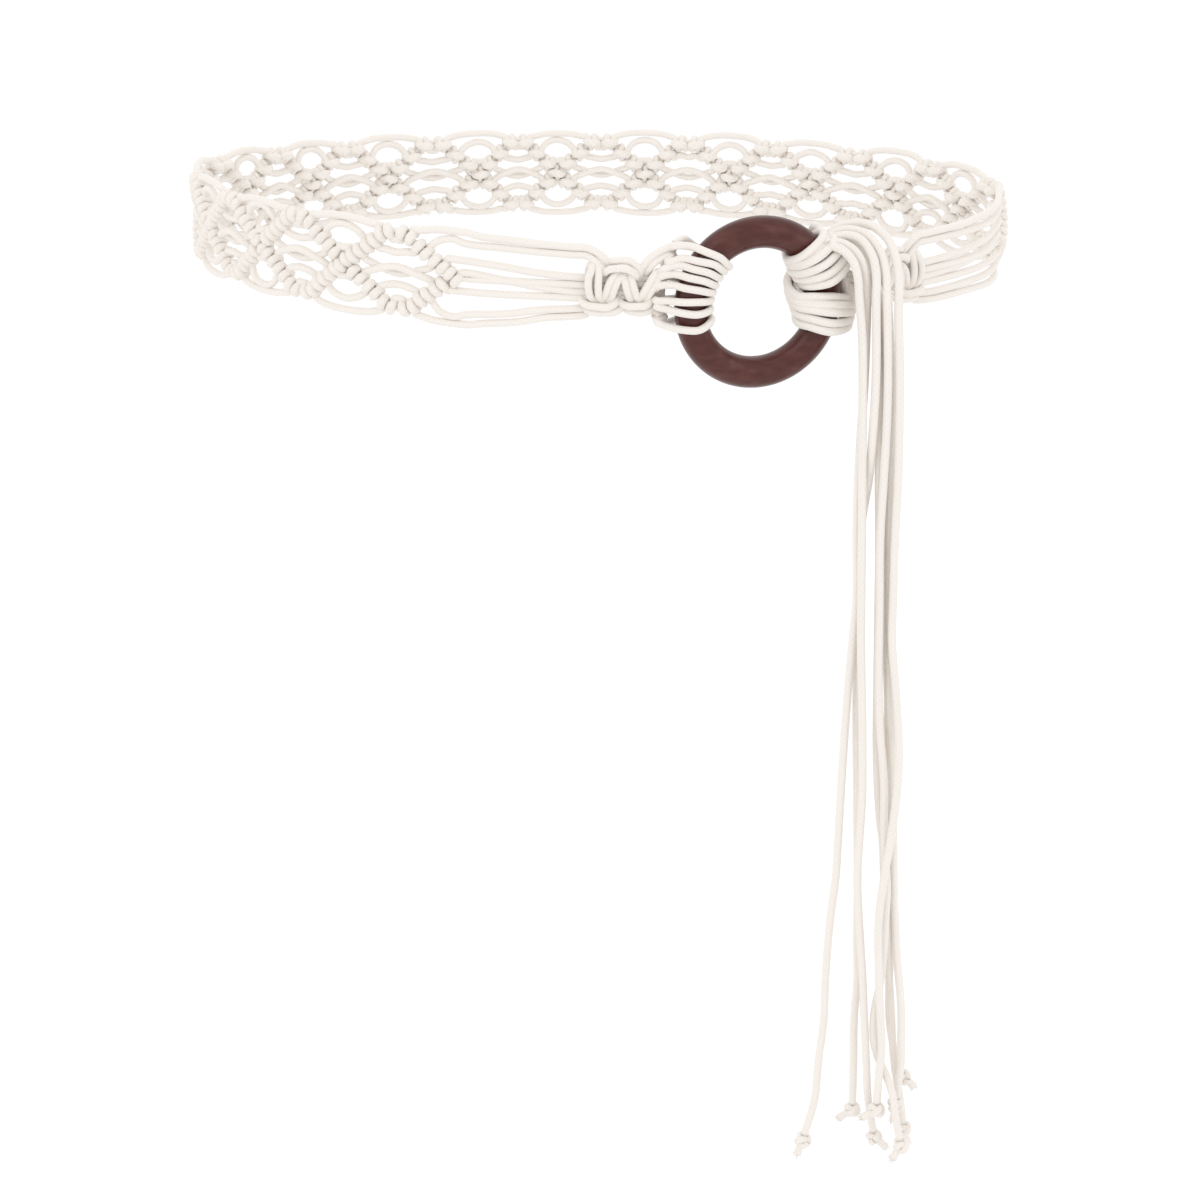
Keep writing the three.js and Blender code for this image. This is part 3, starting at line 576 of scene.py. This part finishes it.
def with_radius(places, radius):
    """The places with one radius as a fourth column."""
    return np.column_stack([places, np.full(len(places), radius)])


def working_cord(lane, upper, radius):
    """Belt places of a cord that is knotted on the leaders, from the first crossing to the last.

    Over each crossing but the first it makes an arc. It is hitched on the bar on the way up, hangs in
    a smile inside the diamond, and is hitched again on the bar down, mirrored. Arcs and smiles are a
    little uneven in height. A cord of the lower half is the same with its heights turned over."""
    crossings = crossing_stations()
    centre = BAR_REACH * KNOT_SHARES[lane]
    rising = hitch_places(*centre, KNOT_SLOPES[lane], radius)
    falling = (rising * [-1, 1, 1, 1])[::-1]
    arc = with_radius(np.column_stack([ARCS[lane] * MM, np.zeros(len(ARCS[lane]))]), radius)
    smile = with_radius(SMILES[lane] * MM, radius)
    random = np.random.default_rng(2 * lane + upper)
    path = []
    for i, crossing in enumerate(crossings):
        before = (crossing - crossings[i - 1]) / 2 / HALF_PITCH if i else 1.0
        after = (crossings[i + 1] - crossing) / 2 / HALF_PITCH if i < len(DIAMOND_SHARES) else 1.0
        bow = arc.copy()
        bow[:, 0] = crossing + bow[:, 0] * np.where(bow[:, 0] < 0, before, after)
        bow[:, 1] += random.normal(0, UNEVENNESS)
        if i:
            path.append(bow)
        if i < len(DIAMOND_SHARES):
            middle = (crossing + crossings[i + 1]) / 2
            behind = 1 if middle < LOOP_LENGTH / 2 else -1
            hang = smile * [after, 1, behind if upper else -behind, 1]
            path.append(rising * [after, 1, 1, 1] + [crossing, 0, 0, 0])
            path.append(hang + [middle, random.normal(0, UNEVENNESS), 0, 0])
            path.append(falling * [after, 1, 1, 1] + [crossings[i + 1], 0, 0, 0])
    return np.vstack(path) * [1, 1 if upper else -1, 1, 1]


def leader_cord(first_up, tied, radius):
    """Belt places of a leader: it zigzags from crossing to crossing over the peaks, inside the hitches.

    The tied leader is hitched round the other one at every crossing."""
    crossings = crossing_stations()
    shares = np.array(LEADER_SHARES)[:, None]
    climb = np.vstack([shares * BAR_REACH, [[HALF_PITCH, BAR_REACH[1] * PEAK_RISE]]])
    descent = (climb[:-1] * [-1, 1])[::-1]
    slope = math.atan2(BAR_REACH[1], BAR_REACH[0])
    path = []
    for i, crossing in enumerate(crossings):
        upper = (i % 2 == 0) == first_up
        sign = 1 if upper else -1
        if tied:
            path.append(hitch_places(0, 0, slope, radius) * [1, -sign, 1, 1] + [crossing, 0, 0, 0])
        else:
            path.append(np.array([[crossing, 0, 0, radius * CROSSED_TIGHTNESS]]))
        if i < len(DIAMOND_SHARES):
            after = (crossings[i + 1] - crossing) / 2
            rise = climb * [after / HALF_PITCH, sign] + [crossing, 0]
            fall = descent * [after / HALF_PITCH, sign] + [crossings[i + 1], 0]
            both = np.vstack([rise, fall])
            flat = np.column_stack([both, np.zeros(len(both))])
            path.append(with_radius(flat, radius * LEADER_TIGHTNESS))
    return np.vstack(path)


def knot_lines():
    """Belt offsets of the eight cords through the left knots, from the fan to the ring."""
    flat = np.zeros(len(INNER_STATIONS))
    inner = [np.column_stack([INNER_STATIONS, heights[[0, 0, 1, 2]], flat]) for heights in INNER_HEIGHTS]
    return [line * MM for line in (EDGE_BAR_OUTER, EDGE_BAR_INNER, *inner, ZIGZAG_RIGHT, ZIGZAG_LEFT)]


def turn_path(row):
    """Ring places of one cord's two turns round the ring's right side, from the lead on."""
    out_1, front_1, hole_1, behind, out_2, front_2, hole_2, far, deep_1, deep_2 = TURNS[row]
    middle = (front_1 + hole_1) / 2
    second_middle = (front_2 + hole_2) / 2
    # Angle on the ring, and distance from the tube's middle in millimetres
    places = [
        [out_1 + 13, far + 2.4],
        [out_1, far + 0.6],
        [out_1 * 0.6 + front_1 * 0.4, far],
        [front_1, far],
        [middle, (far + deep_1) / 2],
        [hole_1, deep_1],
        [behind, deep_1 * 0.96],
        [behind * 0.5 + out_2 * 0.5, far],
        [out_2, far],
        [out_2, far + 0.4],
        [out_2 * 0.6 + front_2 * 0.4, far],
        [front_2, far],
        [second_middle, (far + deep_2) / 2],
        [hole_2, deep_2],
        [hole_2 * 0.98, deep_2 * 0.94],
    ]
    return np.insert(np.array(places) * [1, MM], 1, TURN_TUBE_ANGLES, axis=1)


def whole_paths(radius):
    """The eight cords as plain points with radii, from where they hang to their bights on the ring.

    Each goes round the ring's right side, through the right knots, the right fan, the net, the left
    fan and the left knots to its cow hitch. Also gives the places where a path is cut into pieces."""
    net_radius = radius * NET_TIGHTNESS
    belt_cords = [
        *(working_cord(lane, True, net_radius) for lane in (2, 1, 0)),
        leader_cord(True, False, net_radius),
        leader_cord(False, True, net_radius),
        *(working_cord(lane, False, net_radius) for lane in (0, 1, 2)),
    ]
    right_end = RIGHT_KNOTS_START + RIGHT_KNOTS_LENGTH
    paths = []
    for i, (net, knots) in enumerate(zip(belt_cords, knot_lines())):
        left = knots + [LEFT_KNOTS_START, 0, 0]
        right = (knots[:RIGHT_KNOTS_ROWS] * [-1, 1, 1])[::-1] + [right_end, 0, 0]
        right = right[right[:, 0] > RIGHT_KNOTS_START]
        route = CORD_ROUTES[i]
        turns = on_ring(turn_path(i))
        emerging = on_ring(emerging_path(i))
        lead = on_belt(np.array([[RIGHT_KNOTS_START - LEAD_REACH, LEAD_HEIGHTS[i] * MM, LEAD_OUT]]))
        hanging = np.vstack([route[1:0:-1], route[:1], emerging[::-1]])
        right_fan = on_belt(fan_places(right[-1] - [LOOP_LENGTH, 0, 0], net[0]))
        left_fan = on_belt(fan_places(left[0], net[-1]))[::-1]
        parts = [
            with_radius(hanging, radius),
            with_radius(turns[::-1], radius),
            with_radius(np.vstack([lead, on_belt(right)]), net_radius),
            with_radius(right_fan, net_radius),
            np.column_stack([on_belt(net[:, :3]), net[:, 3]]),
            with_radius(left_fan, net_radius),
            with_radius(on_belt(left), net_radius),
            with_radius(on_ring(cow_hitch_path(i)), net_radius),
        ]
        cuts = {
            "hang": 1,
            "net": sum(len(part) for part in parts[:3]) - 1 - HIDDEN_ROWS[i],
            "left": sum(len(part) for part in parts[:6]) + HIDDEN_ROWS[i],
        }
        paths.append((np.vstack(parts), cuts))
    return paths


def emerging_path(i):
    """Ring places of cord i behind the ring after its second turn, up to where it starts to hang."""
    inside = TURNS[i, HOLE_2_COLUMN]
    if i < len(OUTER_ANGLES):
        out = OUTER_ANGLES[i]
        near, far = inside * 0.8 + out * 0.2, inside * 0.4 + out * 0.6
        places = [[near, 610, 8.6], [far, 650, 9.0], [out, 690, 9.2]]
    else:
        places = [[inside * 0.9, 615, 9.0], [inside * 0.85 - 1, 645, 12.4]]
    return np.array(places) * [1, 1, MM]


def fan_places(knots_place, net_place):
    """Belt places of a loose cord of a fan, between the knots and the net."""
    shares = np.array(FAN_SHARES)[:, None]
    eased = shares * shares * (3 - 2 * shares)
    low, high = np.asarray(knots_place)[:3], np.asarray(net_place)[:3]
    return low + (high - low) * np.column_stack([shares, eased, shares])


def cow_hitch_path(i):
    """Ring places of cord i over the ring's left side, through the hole and behind to its bight."""
    beyond, outer, front, inner = COW_HITCHES[i]
    partner = COW_HITCHES[i + 1 - 2 * (i % 2)]
    middle = (outer + partner[1]) / 2
    aside = 1.0 if i % 2 else -1.0
    ring_angles = [
        beyond, outer, outer * 0.55 + front * 0.45, front, front * 0.5 + inner * 0.5, inner, inner,
        inner * 0.6 + outer * 0.4, outer + aside * 2.5, outer + aside, middle,
    ]
    return np.column_stack([ring_angles, COW_TUBE_ANGLES, np.array(COW_DISTANCES) * MM])


# Materials


def new_group(name, inputs, outputs):
    """An empty shader node group with named float inputs and outputs, and its two end nodes."""
    group = bpy.data.node_groups.new(name, "ShaderNodeTree")
    for label, kind, value in inputs:
        socket = group.interface.new_socket(label, in_out="INPUT", socket_type=kind)
        if value is not None:
            socket.default_value = value
    for label, kind in outputs:
        group.interface.new_socket(label, in_out="OUTPUT", socket_type=kind)
    return group, group.nodes.new("NodeGroupInput"), group.nodes.new("NodeGroupOutput")


def set_inputs(node, values):
    """Constant values on a node's own sockets, by their names."""
    for name, value in values.items():
        node.inputs[name].default_value = value


def add_math(tree, operation, first, second=None):
    """A Math node whose inputs are sockets or numbers. Gives its output."""
    node = tree.nodes.new("ShaderNodeMath")
    node.operation = operation
    for socket, value in zip(node.inputs, (first, second)):
        if isinstance(value, (int, float)):
            socket.default_value = value
        elif value is not None:
            tree.links.new(value, socket)
    return node.outputs[0]


def plait_group():
    """Fine plait on a cord: the higher of two sets of slanting waves round it, and fibres along it. Also
    its hollows, where the cotton gets painted shade.
    """
    group, start, end = new_group(
        "Cord Plait",
        [("Plait Length", "NodeSocketFloat", 1.3), ("Plait Strands", "NodeSocketFloat", 4.0)],
        [("Height", "NodeSocketFloat"), ("Hollow", "NodeSocketFloat")],
    )
    place = group.nodes.new("ShaderNodeUVMap")
    place.uv_map = "cord"
    split = group.nodes.new("ShaderNodeSeparateXYZ")
    group.links.new(place.outputs[0], split.inputs[0])
    along = add_math(group, "MULTIPLY", split.outputs[0], start.outputs["Plait Length"])
    around = add_math(group, "MULTIPLY", split.outputs[1], start.outputs["Plait Strands"])
    waves = []
    for operation in ("ADD", "SUBTRACT"):
        slant = add_math(group, operation, along, around)
        wave = add_math(group, "SINE", add_math(group, "MULTIPLY", slant, math.pi))
        waves.append(add_math(group, "ABSOLUTE", wave))
    plait = add_math(group, "MAXIMUM", waves[0], waves[1])
    noise = group.nodes.new("ShaderNodeTexNoise")
    set_inputs(noise, {"Scale": 5.0, "Detail": 3.0})
    stretch = group.nodes.new("ShaderNodeVectorMath")
    stretch.operation = "MULTIPLY"
    stretch.inputs[1].default_value = (1.0, 9.0, 1.0)
    group.links.new(place.outputs[0], stretch.inputs[0])
    group.links.new(stretch.outputs[0], noise.inputs["Vector"])
    fibres = add_math(group, "MULTIPLY", noise.outputs["Fac"], FIBRE_SHARE)
    height = add_math(group, "ADD", add_math(group, "MULTIPLY", plait, PLAIT_SHARE), fibres)
    group.links.new(height, end.inputs["Height"])
    group.links.new(add_math(group, "SUBTRACT", 1.0, plait), end.inputs["Hollow"])


def shade_variation_group():
    """Slow change of shade over a piece: soft noise on object coordinates."""
    group, start, end = new_group(
        "Shade Variation", [("Size", "NodeSocketFloat", 40.0)], [("Mask", "NodeSocketFloat")]
    )
    place = group.nodes.new("ShaderNodeTexCoord")
    noise = group.nodes.new("ShaderNodeTexNoise")
    set_inputs(noise, {"Detail": 2.0})
    group.links.new(place.outputs["Object"], noise.inputs["Vector"])
    group.links.new(start.outputs["Size"], noise.inputs["Scale"])
    group.links.new(noise.outputs["Fac"], end.inputs["Mask"])


def place_group(tree, name):
    """A node of one of the shared groups in a material."""
    node = tree.nodes.new("ShaderNodeGroup")
    node.node_tree = bpy.data.node_groups[name]
    return node


def mix_colours(tree, factor, first, second):
    """Mix of two colours by a factor socket. A Mix node's colours are sockets 6 and 7 and output 2."""
    node = tree.nodes.new("ShaderNodeMix")
    node.data_type = "RGBA"
    tree.links.new(factor, node.inputs[0])
    for socket, value in ((node.inputs[6], first), (node.inputs[7], second)):
        if isinstance(value, bpy.types.NodeSocket):
            tree.links.new(value, socket)
        else:
            socket.default_value = value
    return node.outputs[2]


def new_material(name, values):
    """A material with constant values on its shader. Gives it with its node tree and shader."""
    material = bpy.data.materials.new(name)
    material.use_nodes = True
    shader = material.node_tree.nodes["Principled BSDF"]
    set_inputs(shader, values)
    return material, material.node_tree, shader


def add_bump(tree, shader, height, values):
    """Bump from a height socket on a shader's normal."""
    bump = tree.nodes.new("ShaderNodeBump")
    set_inputs(bump, values)
    tree.links.new(height, bump.inputs["Height"])
    tree.links.new(bump.outputs[0], shader.inputs["Normal"])


def cotton_material(settings):
    """Matte cream cotton cord with a fine plait, and painted shade darkening the plait's hollows."""
    values = {"Roughness": 0.82, "Sheen Weight": 0.25, "Sheen Roughness": 0.5}
    _, tree, shader = new_material("plaited_cotton", values)
    plait = place_group(tree, "Cord Plait")
    shade = place_group(tree, "Shade Variation")
    light = tuple(min(1.0, c * LIGHTER) for c in settings.colour[:3]) + (1,)
    slow = mix_colours(tree, shade.outputs["Mask"], tuple(settings.colour), light)
    # Painted shade: the plait's hollows are mixed towards the darker hollow colour
    hollow_shade = add_math(tree, "MULTIPLY", plait.outputs["Hollow"], PAINTED_SHADE_SHARE)
    colour = mix_colours(tree, hollow_shade, slow, tuple(settings.painted_shade_colour))
    tree.links.new(colour, shader.inputs["Base Color"])
    add_bump(tree, shader, plait.outputs["Height"], {"Strength": 0.14, "Distance": 0.15 * MM})


def wood_material(settings):
    """Stained and varnished wood with fine grain lines round the ring."""
    values = {"Roughness": 0.3, "Specular IOR Level": 0.25, "Coat Weight": 0.2, "Coat Roughness": 0.08}
    _, tree, shader = new_material("stained_wood", values)
    place = tree.nodes.new("ShaderNodeTexCoord")
    mapping = tree.nodes.new("ShaderNodeMapping")
    set_inputs(mapping, {"Location": tuple(-RING_CENTRE)})
    stretch = tree.nodes.new("ShaderNodeMapping")
    set_inputs(stretch, {"Scale": (60.0, 420.0, 260.0)})
    noise = tree.nodes.new("ShaderNodeTexNoise")
    set_inputs(noise, {"Scale": 1.0, "Detail": 6.0})
    tree.links.new(place.outputs["Object"], mapping.inputs["Vector"])
    tree.links.new(mapping.outputs[0], stretch.inputs["Vector"])
    tree.links.new(stretch.outputs[0], noise.inputs["Vector"])
    ramp = tree.nodes.new("ShaderNodeMapRange")
    set_inputs(ramp, {"From Min": 0.45, "From Max": 0.75})
    tree.links.new(noise.outputs["Fac"], ramp.inputs["Value"])
    colour = mix_colours(tree, ramp.outputs[0], tuple(settings.colour), tuple(settings.grain_colour))
    tree.links.new(colour, shader.inputs["Base Color"])
    add_bump(tree, shader, noise.outputs["Fac"], {"Strength": 0.12, "Distance": 0.1 * MM})


def finish_piece(piece, slot, *nodes):
    """A finished piece rides on the part's one body and stands for its CAD nodes. Its slot is not used."""
    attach(piece, "root")
    if nodes:
        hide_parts(*nodes)


# Operators


class BELT_OT_camera(bpy.types.Operator):
    """Add the camera at the photograph's place"""

    bl_idname = "belt.camera"
    bl_label = "Add Camera"

    def execute(self, context):
        camera = add_object("camera", bpy.data.cameras.new("camera"))
        camera.data.sensor_width = SENSOR
        camera.data.lens = SENSOR * PHOTO_FOCAL / PHOTO_SIZE
        camera.location = CAMERA_PLACE
        camera.rotation_euler = (math.radians(CAMERA_PITCH), 0, 0)
        context.scene.camera = camera
        return {"FINISHED"}


class BELT_OT_materials(bpy.types.Operator):
    """Make the shared node groups and the two finishes"""

    bl_idname = "belt.materials"
    bl_label = "Make Materials"

    def execute(self, context):
        plait_group()
        shade_variation_group()
        cotton_material(context.scene.belt_cord)
        wood_material(context.scene.belt_ring)
        return {"FINISHED"}


class BELT_OT_hanging_cords(bpy.types.Operator):
    """Add the eight hanging cords with their end knots"""

    bl_idname = "belt.hanging_cords"
    bl_label = "Add Hanging Cords"

    def execute(self, context):
        cord = context.scene.belt_cord
        material = bpy.data.materials["plaited_cotton"]
        radius = cord.diameter / 2
        for i, route in enumerate(CORD_ROUTES):
            line, _ = smooth(with_radius(route, radius), 2 * cord.spacing)
            piece = add_tubes(f"hanging_cord_{i + 1}", [tube(line, cord.sides)], material)
            finish_piece(piece, "cotton_cord", f"tail_cord_{i + 1}")
            knot = add_end_knot(i, line, radius, cord, material)
            finish_piece(knot, "cotton_cord", f"end_knot_{i + 1}")
        return {"FINISHED"}


def add_end_knot(i, line, radius, cord, material):
    """An overhand knot under a cord's end: a trefoil line, and a short frayed tip below it."""
    down = line[-1, :3] - line[-4, :3]
    down /= np.linalg.norm(down)
    # Each knot is turned another way round
    side = np.cross(down, [math.cos(i), math.sin(i), 0.1])
    side /= np.linalg.norm(side)
    other = np.cross(down, side)
    centre = line[-1, :3] + down * KNOT_DROP
    turn = np.linspace(0, 2 * math.pi, KNOT_POINTS)
    spread = (2 + np.cos(3 * turn)) * KNOT_LOBE
    trefoil = (
        centre
        + (spread * np.cos(2 * turn))[:, None] * side
        + (spread * np.sin(2 * turn))[:, None] * other
        + (np.sin(3 * turn) * KNOT_DEPTH)[:, None] * down
    )
    shapes = [tube(with_radius(trefoil, radius * KNOT_TIGHTNESS), cord.sides)]
    lean = math.radians(TIP_LEANS[i])
    tip_way = math.cos(lean) * down + math.sin(lean) * np.array([1.0, 0, 0])
    tip_way /= np.linalg.norm(tip_way)
    shares = np.linspace(0, 1, TIP_POINTS)
    tip = centre + shares[:, None] * TIP_LENGTH * tip_way
    widths = np.interp(shares, [0, 0.5, 1], TIP_SHARES) * radius
    shapes.append(tube(np.column_stack([tip, widths]), cord.sides))
    random = np.random.default_rng(FIBRE_SEED + i)
    for angle in np.linspace(0, 2 * math.pi, FIBRE_COUNT, endpoint=False):
        reach = random.uniform(*FIBRE_REACH) * radius
        out = side * math.cos(angle) + other * math.sin(angle)
        out -= tip_way * out.dot(tip_way)
        root = tip[-2] + out * reach * FIBRE_ROOT
        end = tip[-1] + out * reach * random.uniform(*FIBRE_GROWTH)
        end = end + tip_way * random.uniform(*FIBRE_LENGTH) * MM
        fibre = root + (end - root) * np.linspace(0, 1, FIBRE_POINTS)[:, None]
        widths = np.linspace(*FIBRE_RADII, FIBRE_POINTS) * MM
        shapes.append(tube(np.column_stack([fibre, widths]), FIBRE_SIDES))
    return add_tubes(f"overhand_knot_{i + 1}", shapes, material)


class BELT_OT_knotted_cords(bpy.types.Operator):
    """Add the eight cords of the net with its fans, knots and ring hitches"""

    bl_idname = "belt.knotted_cords"
    bl_label = "Add Knotted Cords"

    def execute(self, context):
        cord = context.scene.belt_cord
        material = bpy.data.materials["plaited_cotton"]
        left_tubes, right_tubes = [], []
        for i, (path, cuts) in enumerate(whole_paths(cord.diameter / 2)):
            line, lengths = smooth(path, cord.spacing)
            along = np.linspace(0, lengths[-1], len(line))
            stops = [lengths[cuts[name]] for name in ("hang", "net", "left")]
            hang, net, left = (int(stop) for stop in np.searchsorted(along, stops))
            piece = add_tubes(f"net_cord_{i + 1}", [tube(line, cord.sides, slice(net, left + 1))], material)
            finish_piece(piece, "cotton_cord", "net_band", "left_fan", "right_fan")
            right_tubes.append(tube(line, cord.sides, slice(hang, net + 1)))
            left_tubes.append(tube(line, cord.sides, slice(left, None)))
        right = add_tubes("right_knots_and_turns", right_tubes, material)
        finish_piece(right, "cotton_cord", "right_square_knots", "right_lead", "lower_turn", "upper_turn")
        left = add_tubes("left_knots_and_cow_hitches", left_tubes, material)
        hitches = [f"cow_hitch_{i + 1}" for i in range(len(COW_HITCHES) // 2)]
        finish_piece(left, "cotton_cord", "left_square_knots", "left_lead", *hitches)
        return {"FINISHED"}


class BELT_OT_ring(bpy.types.Operator):
    """Add the turned wooden ring"""

    bl_idname = "belt.ring"
    bl_label = "Add Wooden Ring"

    def execute(self, context):
        around = np.linspace(0, 360, RING_STEPS, endpoint=False)
        round_tube = np.linspace(0, 360, RING_TUBE_SIDES, endpoint=False)
        grid = np.stack(np.meshgrid(around, round_tube, [TUBE_RADIUS], indexing="ij"), axis=-1)
        points = on_ring(grid)
        a = np.arange(RING_STEPS)[:, None] * RING_TUBE_SIDES
        b = (np.arange(RING_STEPS)[:, None] + 1) % RING_STEPS * RING_TUBE_SIDES
        c = np.arange(RING_TUBE_SIDES)[None, :]
        d = (c + 1) % RING_TUBE_SIDES
        quads = np.stack([a + c, b + c, b + d, a + d], axis=-1).reshape(-1, 4)
        mesh = bpy.data.meshes.new("turned_ring")
        mesh.from_pydata(points.reshape(-1, 3).tolist(), [], quads[:, ::-1].tolist())
        mesh.polygons.foreach_set("use_smooth", np.ones(len(mesh.polygons), dtype=bool))
        mesh.materials.append(bpy.data.materials["stained_wood"])
        piece = add_object("turned_ring", mesh)
        finish_piece(piece, "polished_wood", "wood_ring")
        return {"FINISHED"}


class BELT_OT_stage(bpy.types.Operator):
    """Add the pale floor and soft studio light"""

    bl_idname = "belt.stage"
    bl_label = "Add Stage"

    def execute(self, context):
        stage = context.scene.belt_stage
        mesh = bpy.data.meshes.new("floor")
        ways = ((-1, -1), (1, -1), (1, 1), (-1, 1))
        corners = [(x * FLOOR_HALF, y * FLOOR_HALF, stage.floor_drop) for x, y in ways]
        mesh.from_pydata(corners, [], [(0, 1, 2, 3)])
        values = {"Base Color": stage.floor_colour, "Roughness": 0.9}
        mesh.materials.append(new_material("pale_floor", values)[0])
        floor = add_object("floor", mesh)
        world = bpy.data.worlds.new("soft_studio")
        world.use_nodes = True
        set_inputs(world.node_tree.nodes["Background"], {"Color": (1, 1, 1, 1), "Strength": stage.sky})
        context.scene.world = world
        context.scene.view_settings.view_transform = "Standard"
        for name, place, size, share in LIGHTS:
            light = bpy.data.lights.new(name, "AREA")
            light.shape = "DISK"
            light.size = size
            light.energy = stage.key_power * share
            lamp = add_object(name, light)
            lamp.location = place
            aim = np.array(LIGHT_AIM) - np.array(place)
            tilt = math.acos(-aim[2] / np.linalg.norm(aim))
            lamp.rotation_euler = (tilt, 0, math.atan2(-aim[0], aim[1]))
        return {"FINISHED"}


class BELT_PT_panel(bpy.types.Panel):
    """Sidebar panel that lists the belt's pieces"""

    bl_label = "Macrame Belt"
    bl_space_type = "VIEW_3D"
    bl_region_type = "UI"
    bl_category = "Macrame Belt"

    def draw(self, context):
        for operator in OPERATORS:
            self.layout.operator(operator.bl_idname)
        for name, group in SETTINGS:
            box = self.layout.box()
            for label in group.__annotations__:
                box.prop(getattr(context.scene, name), label)


OPERATORS = (
    BELT_OT_camera,
    BELT_OT_materials,
    BELT_OT_hanging_cords,
    BELT_OT_knotted_cords,
    BELT_OT_ring,
    BELT_OT_stage,
)
SETTINGS = (("belt_cord", BELT_PG_cord), ("belt_ring", BELT_PG_ring), ("belt_stage", BELT_PG_stage))


def register():
    """Register the classes and the scene's settings."""
    for name, group in SETTINGS:
        bpy.utils.register_class(group)
        setattr(bpy.types.Scene, name, bpy.props.PointerProperty(type=group))
    for operator in (*OPERATORS, BELT_PT_panel):
        bpy.utils.register_class(operator)


def unregister():
    """Undo register."""
    for operator in (BELT_PT_panel, *reversed(OPERATORS)):
        bpy.utils.unregister_class(operator)
    for name, group in reversed(SETTINGS):
        delattr(bpy.types.Scene, name)
        bpy.utils.unregister_class(group)


def main():
    """Build every piece."""
    register()
    bpy.ops.belt.camera()
    bpy.ops.belt.materials()
    bpy.ops.belt.hanging_cords()
    bpy.ops.belt.knotted_cords()
    bpy.ops.belt.ring()
    bpy.ops.belt.stage()


if __name__ == "__main__":
    main()
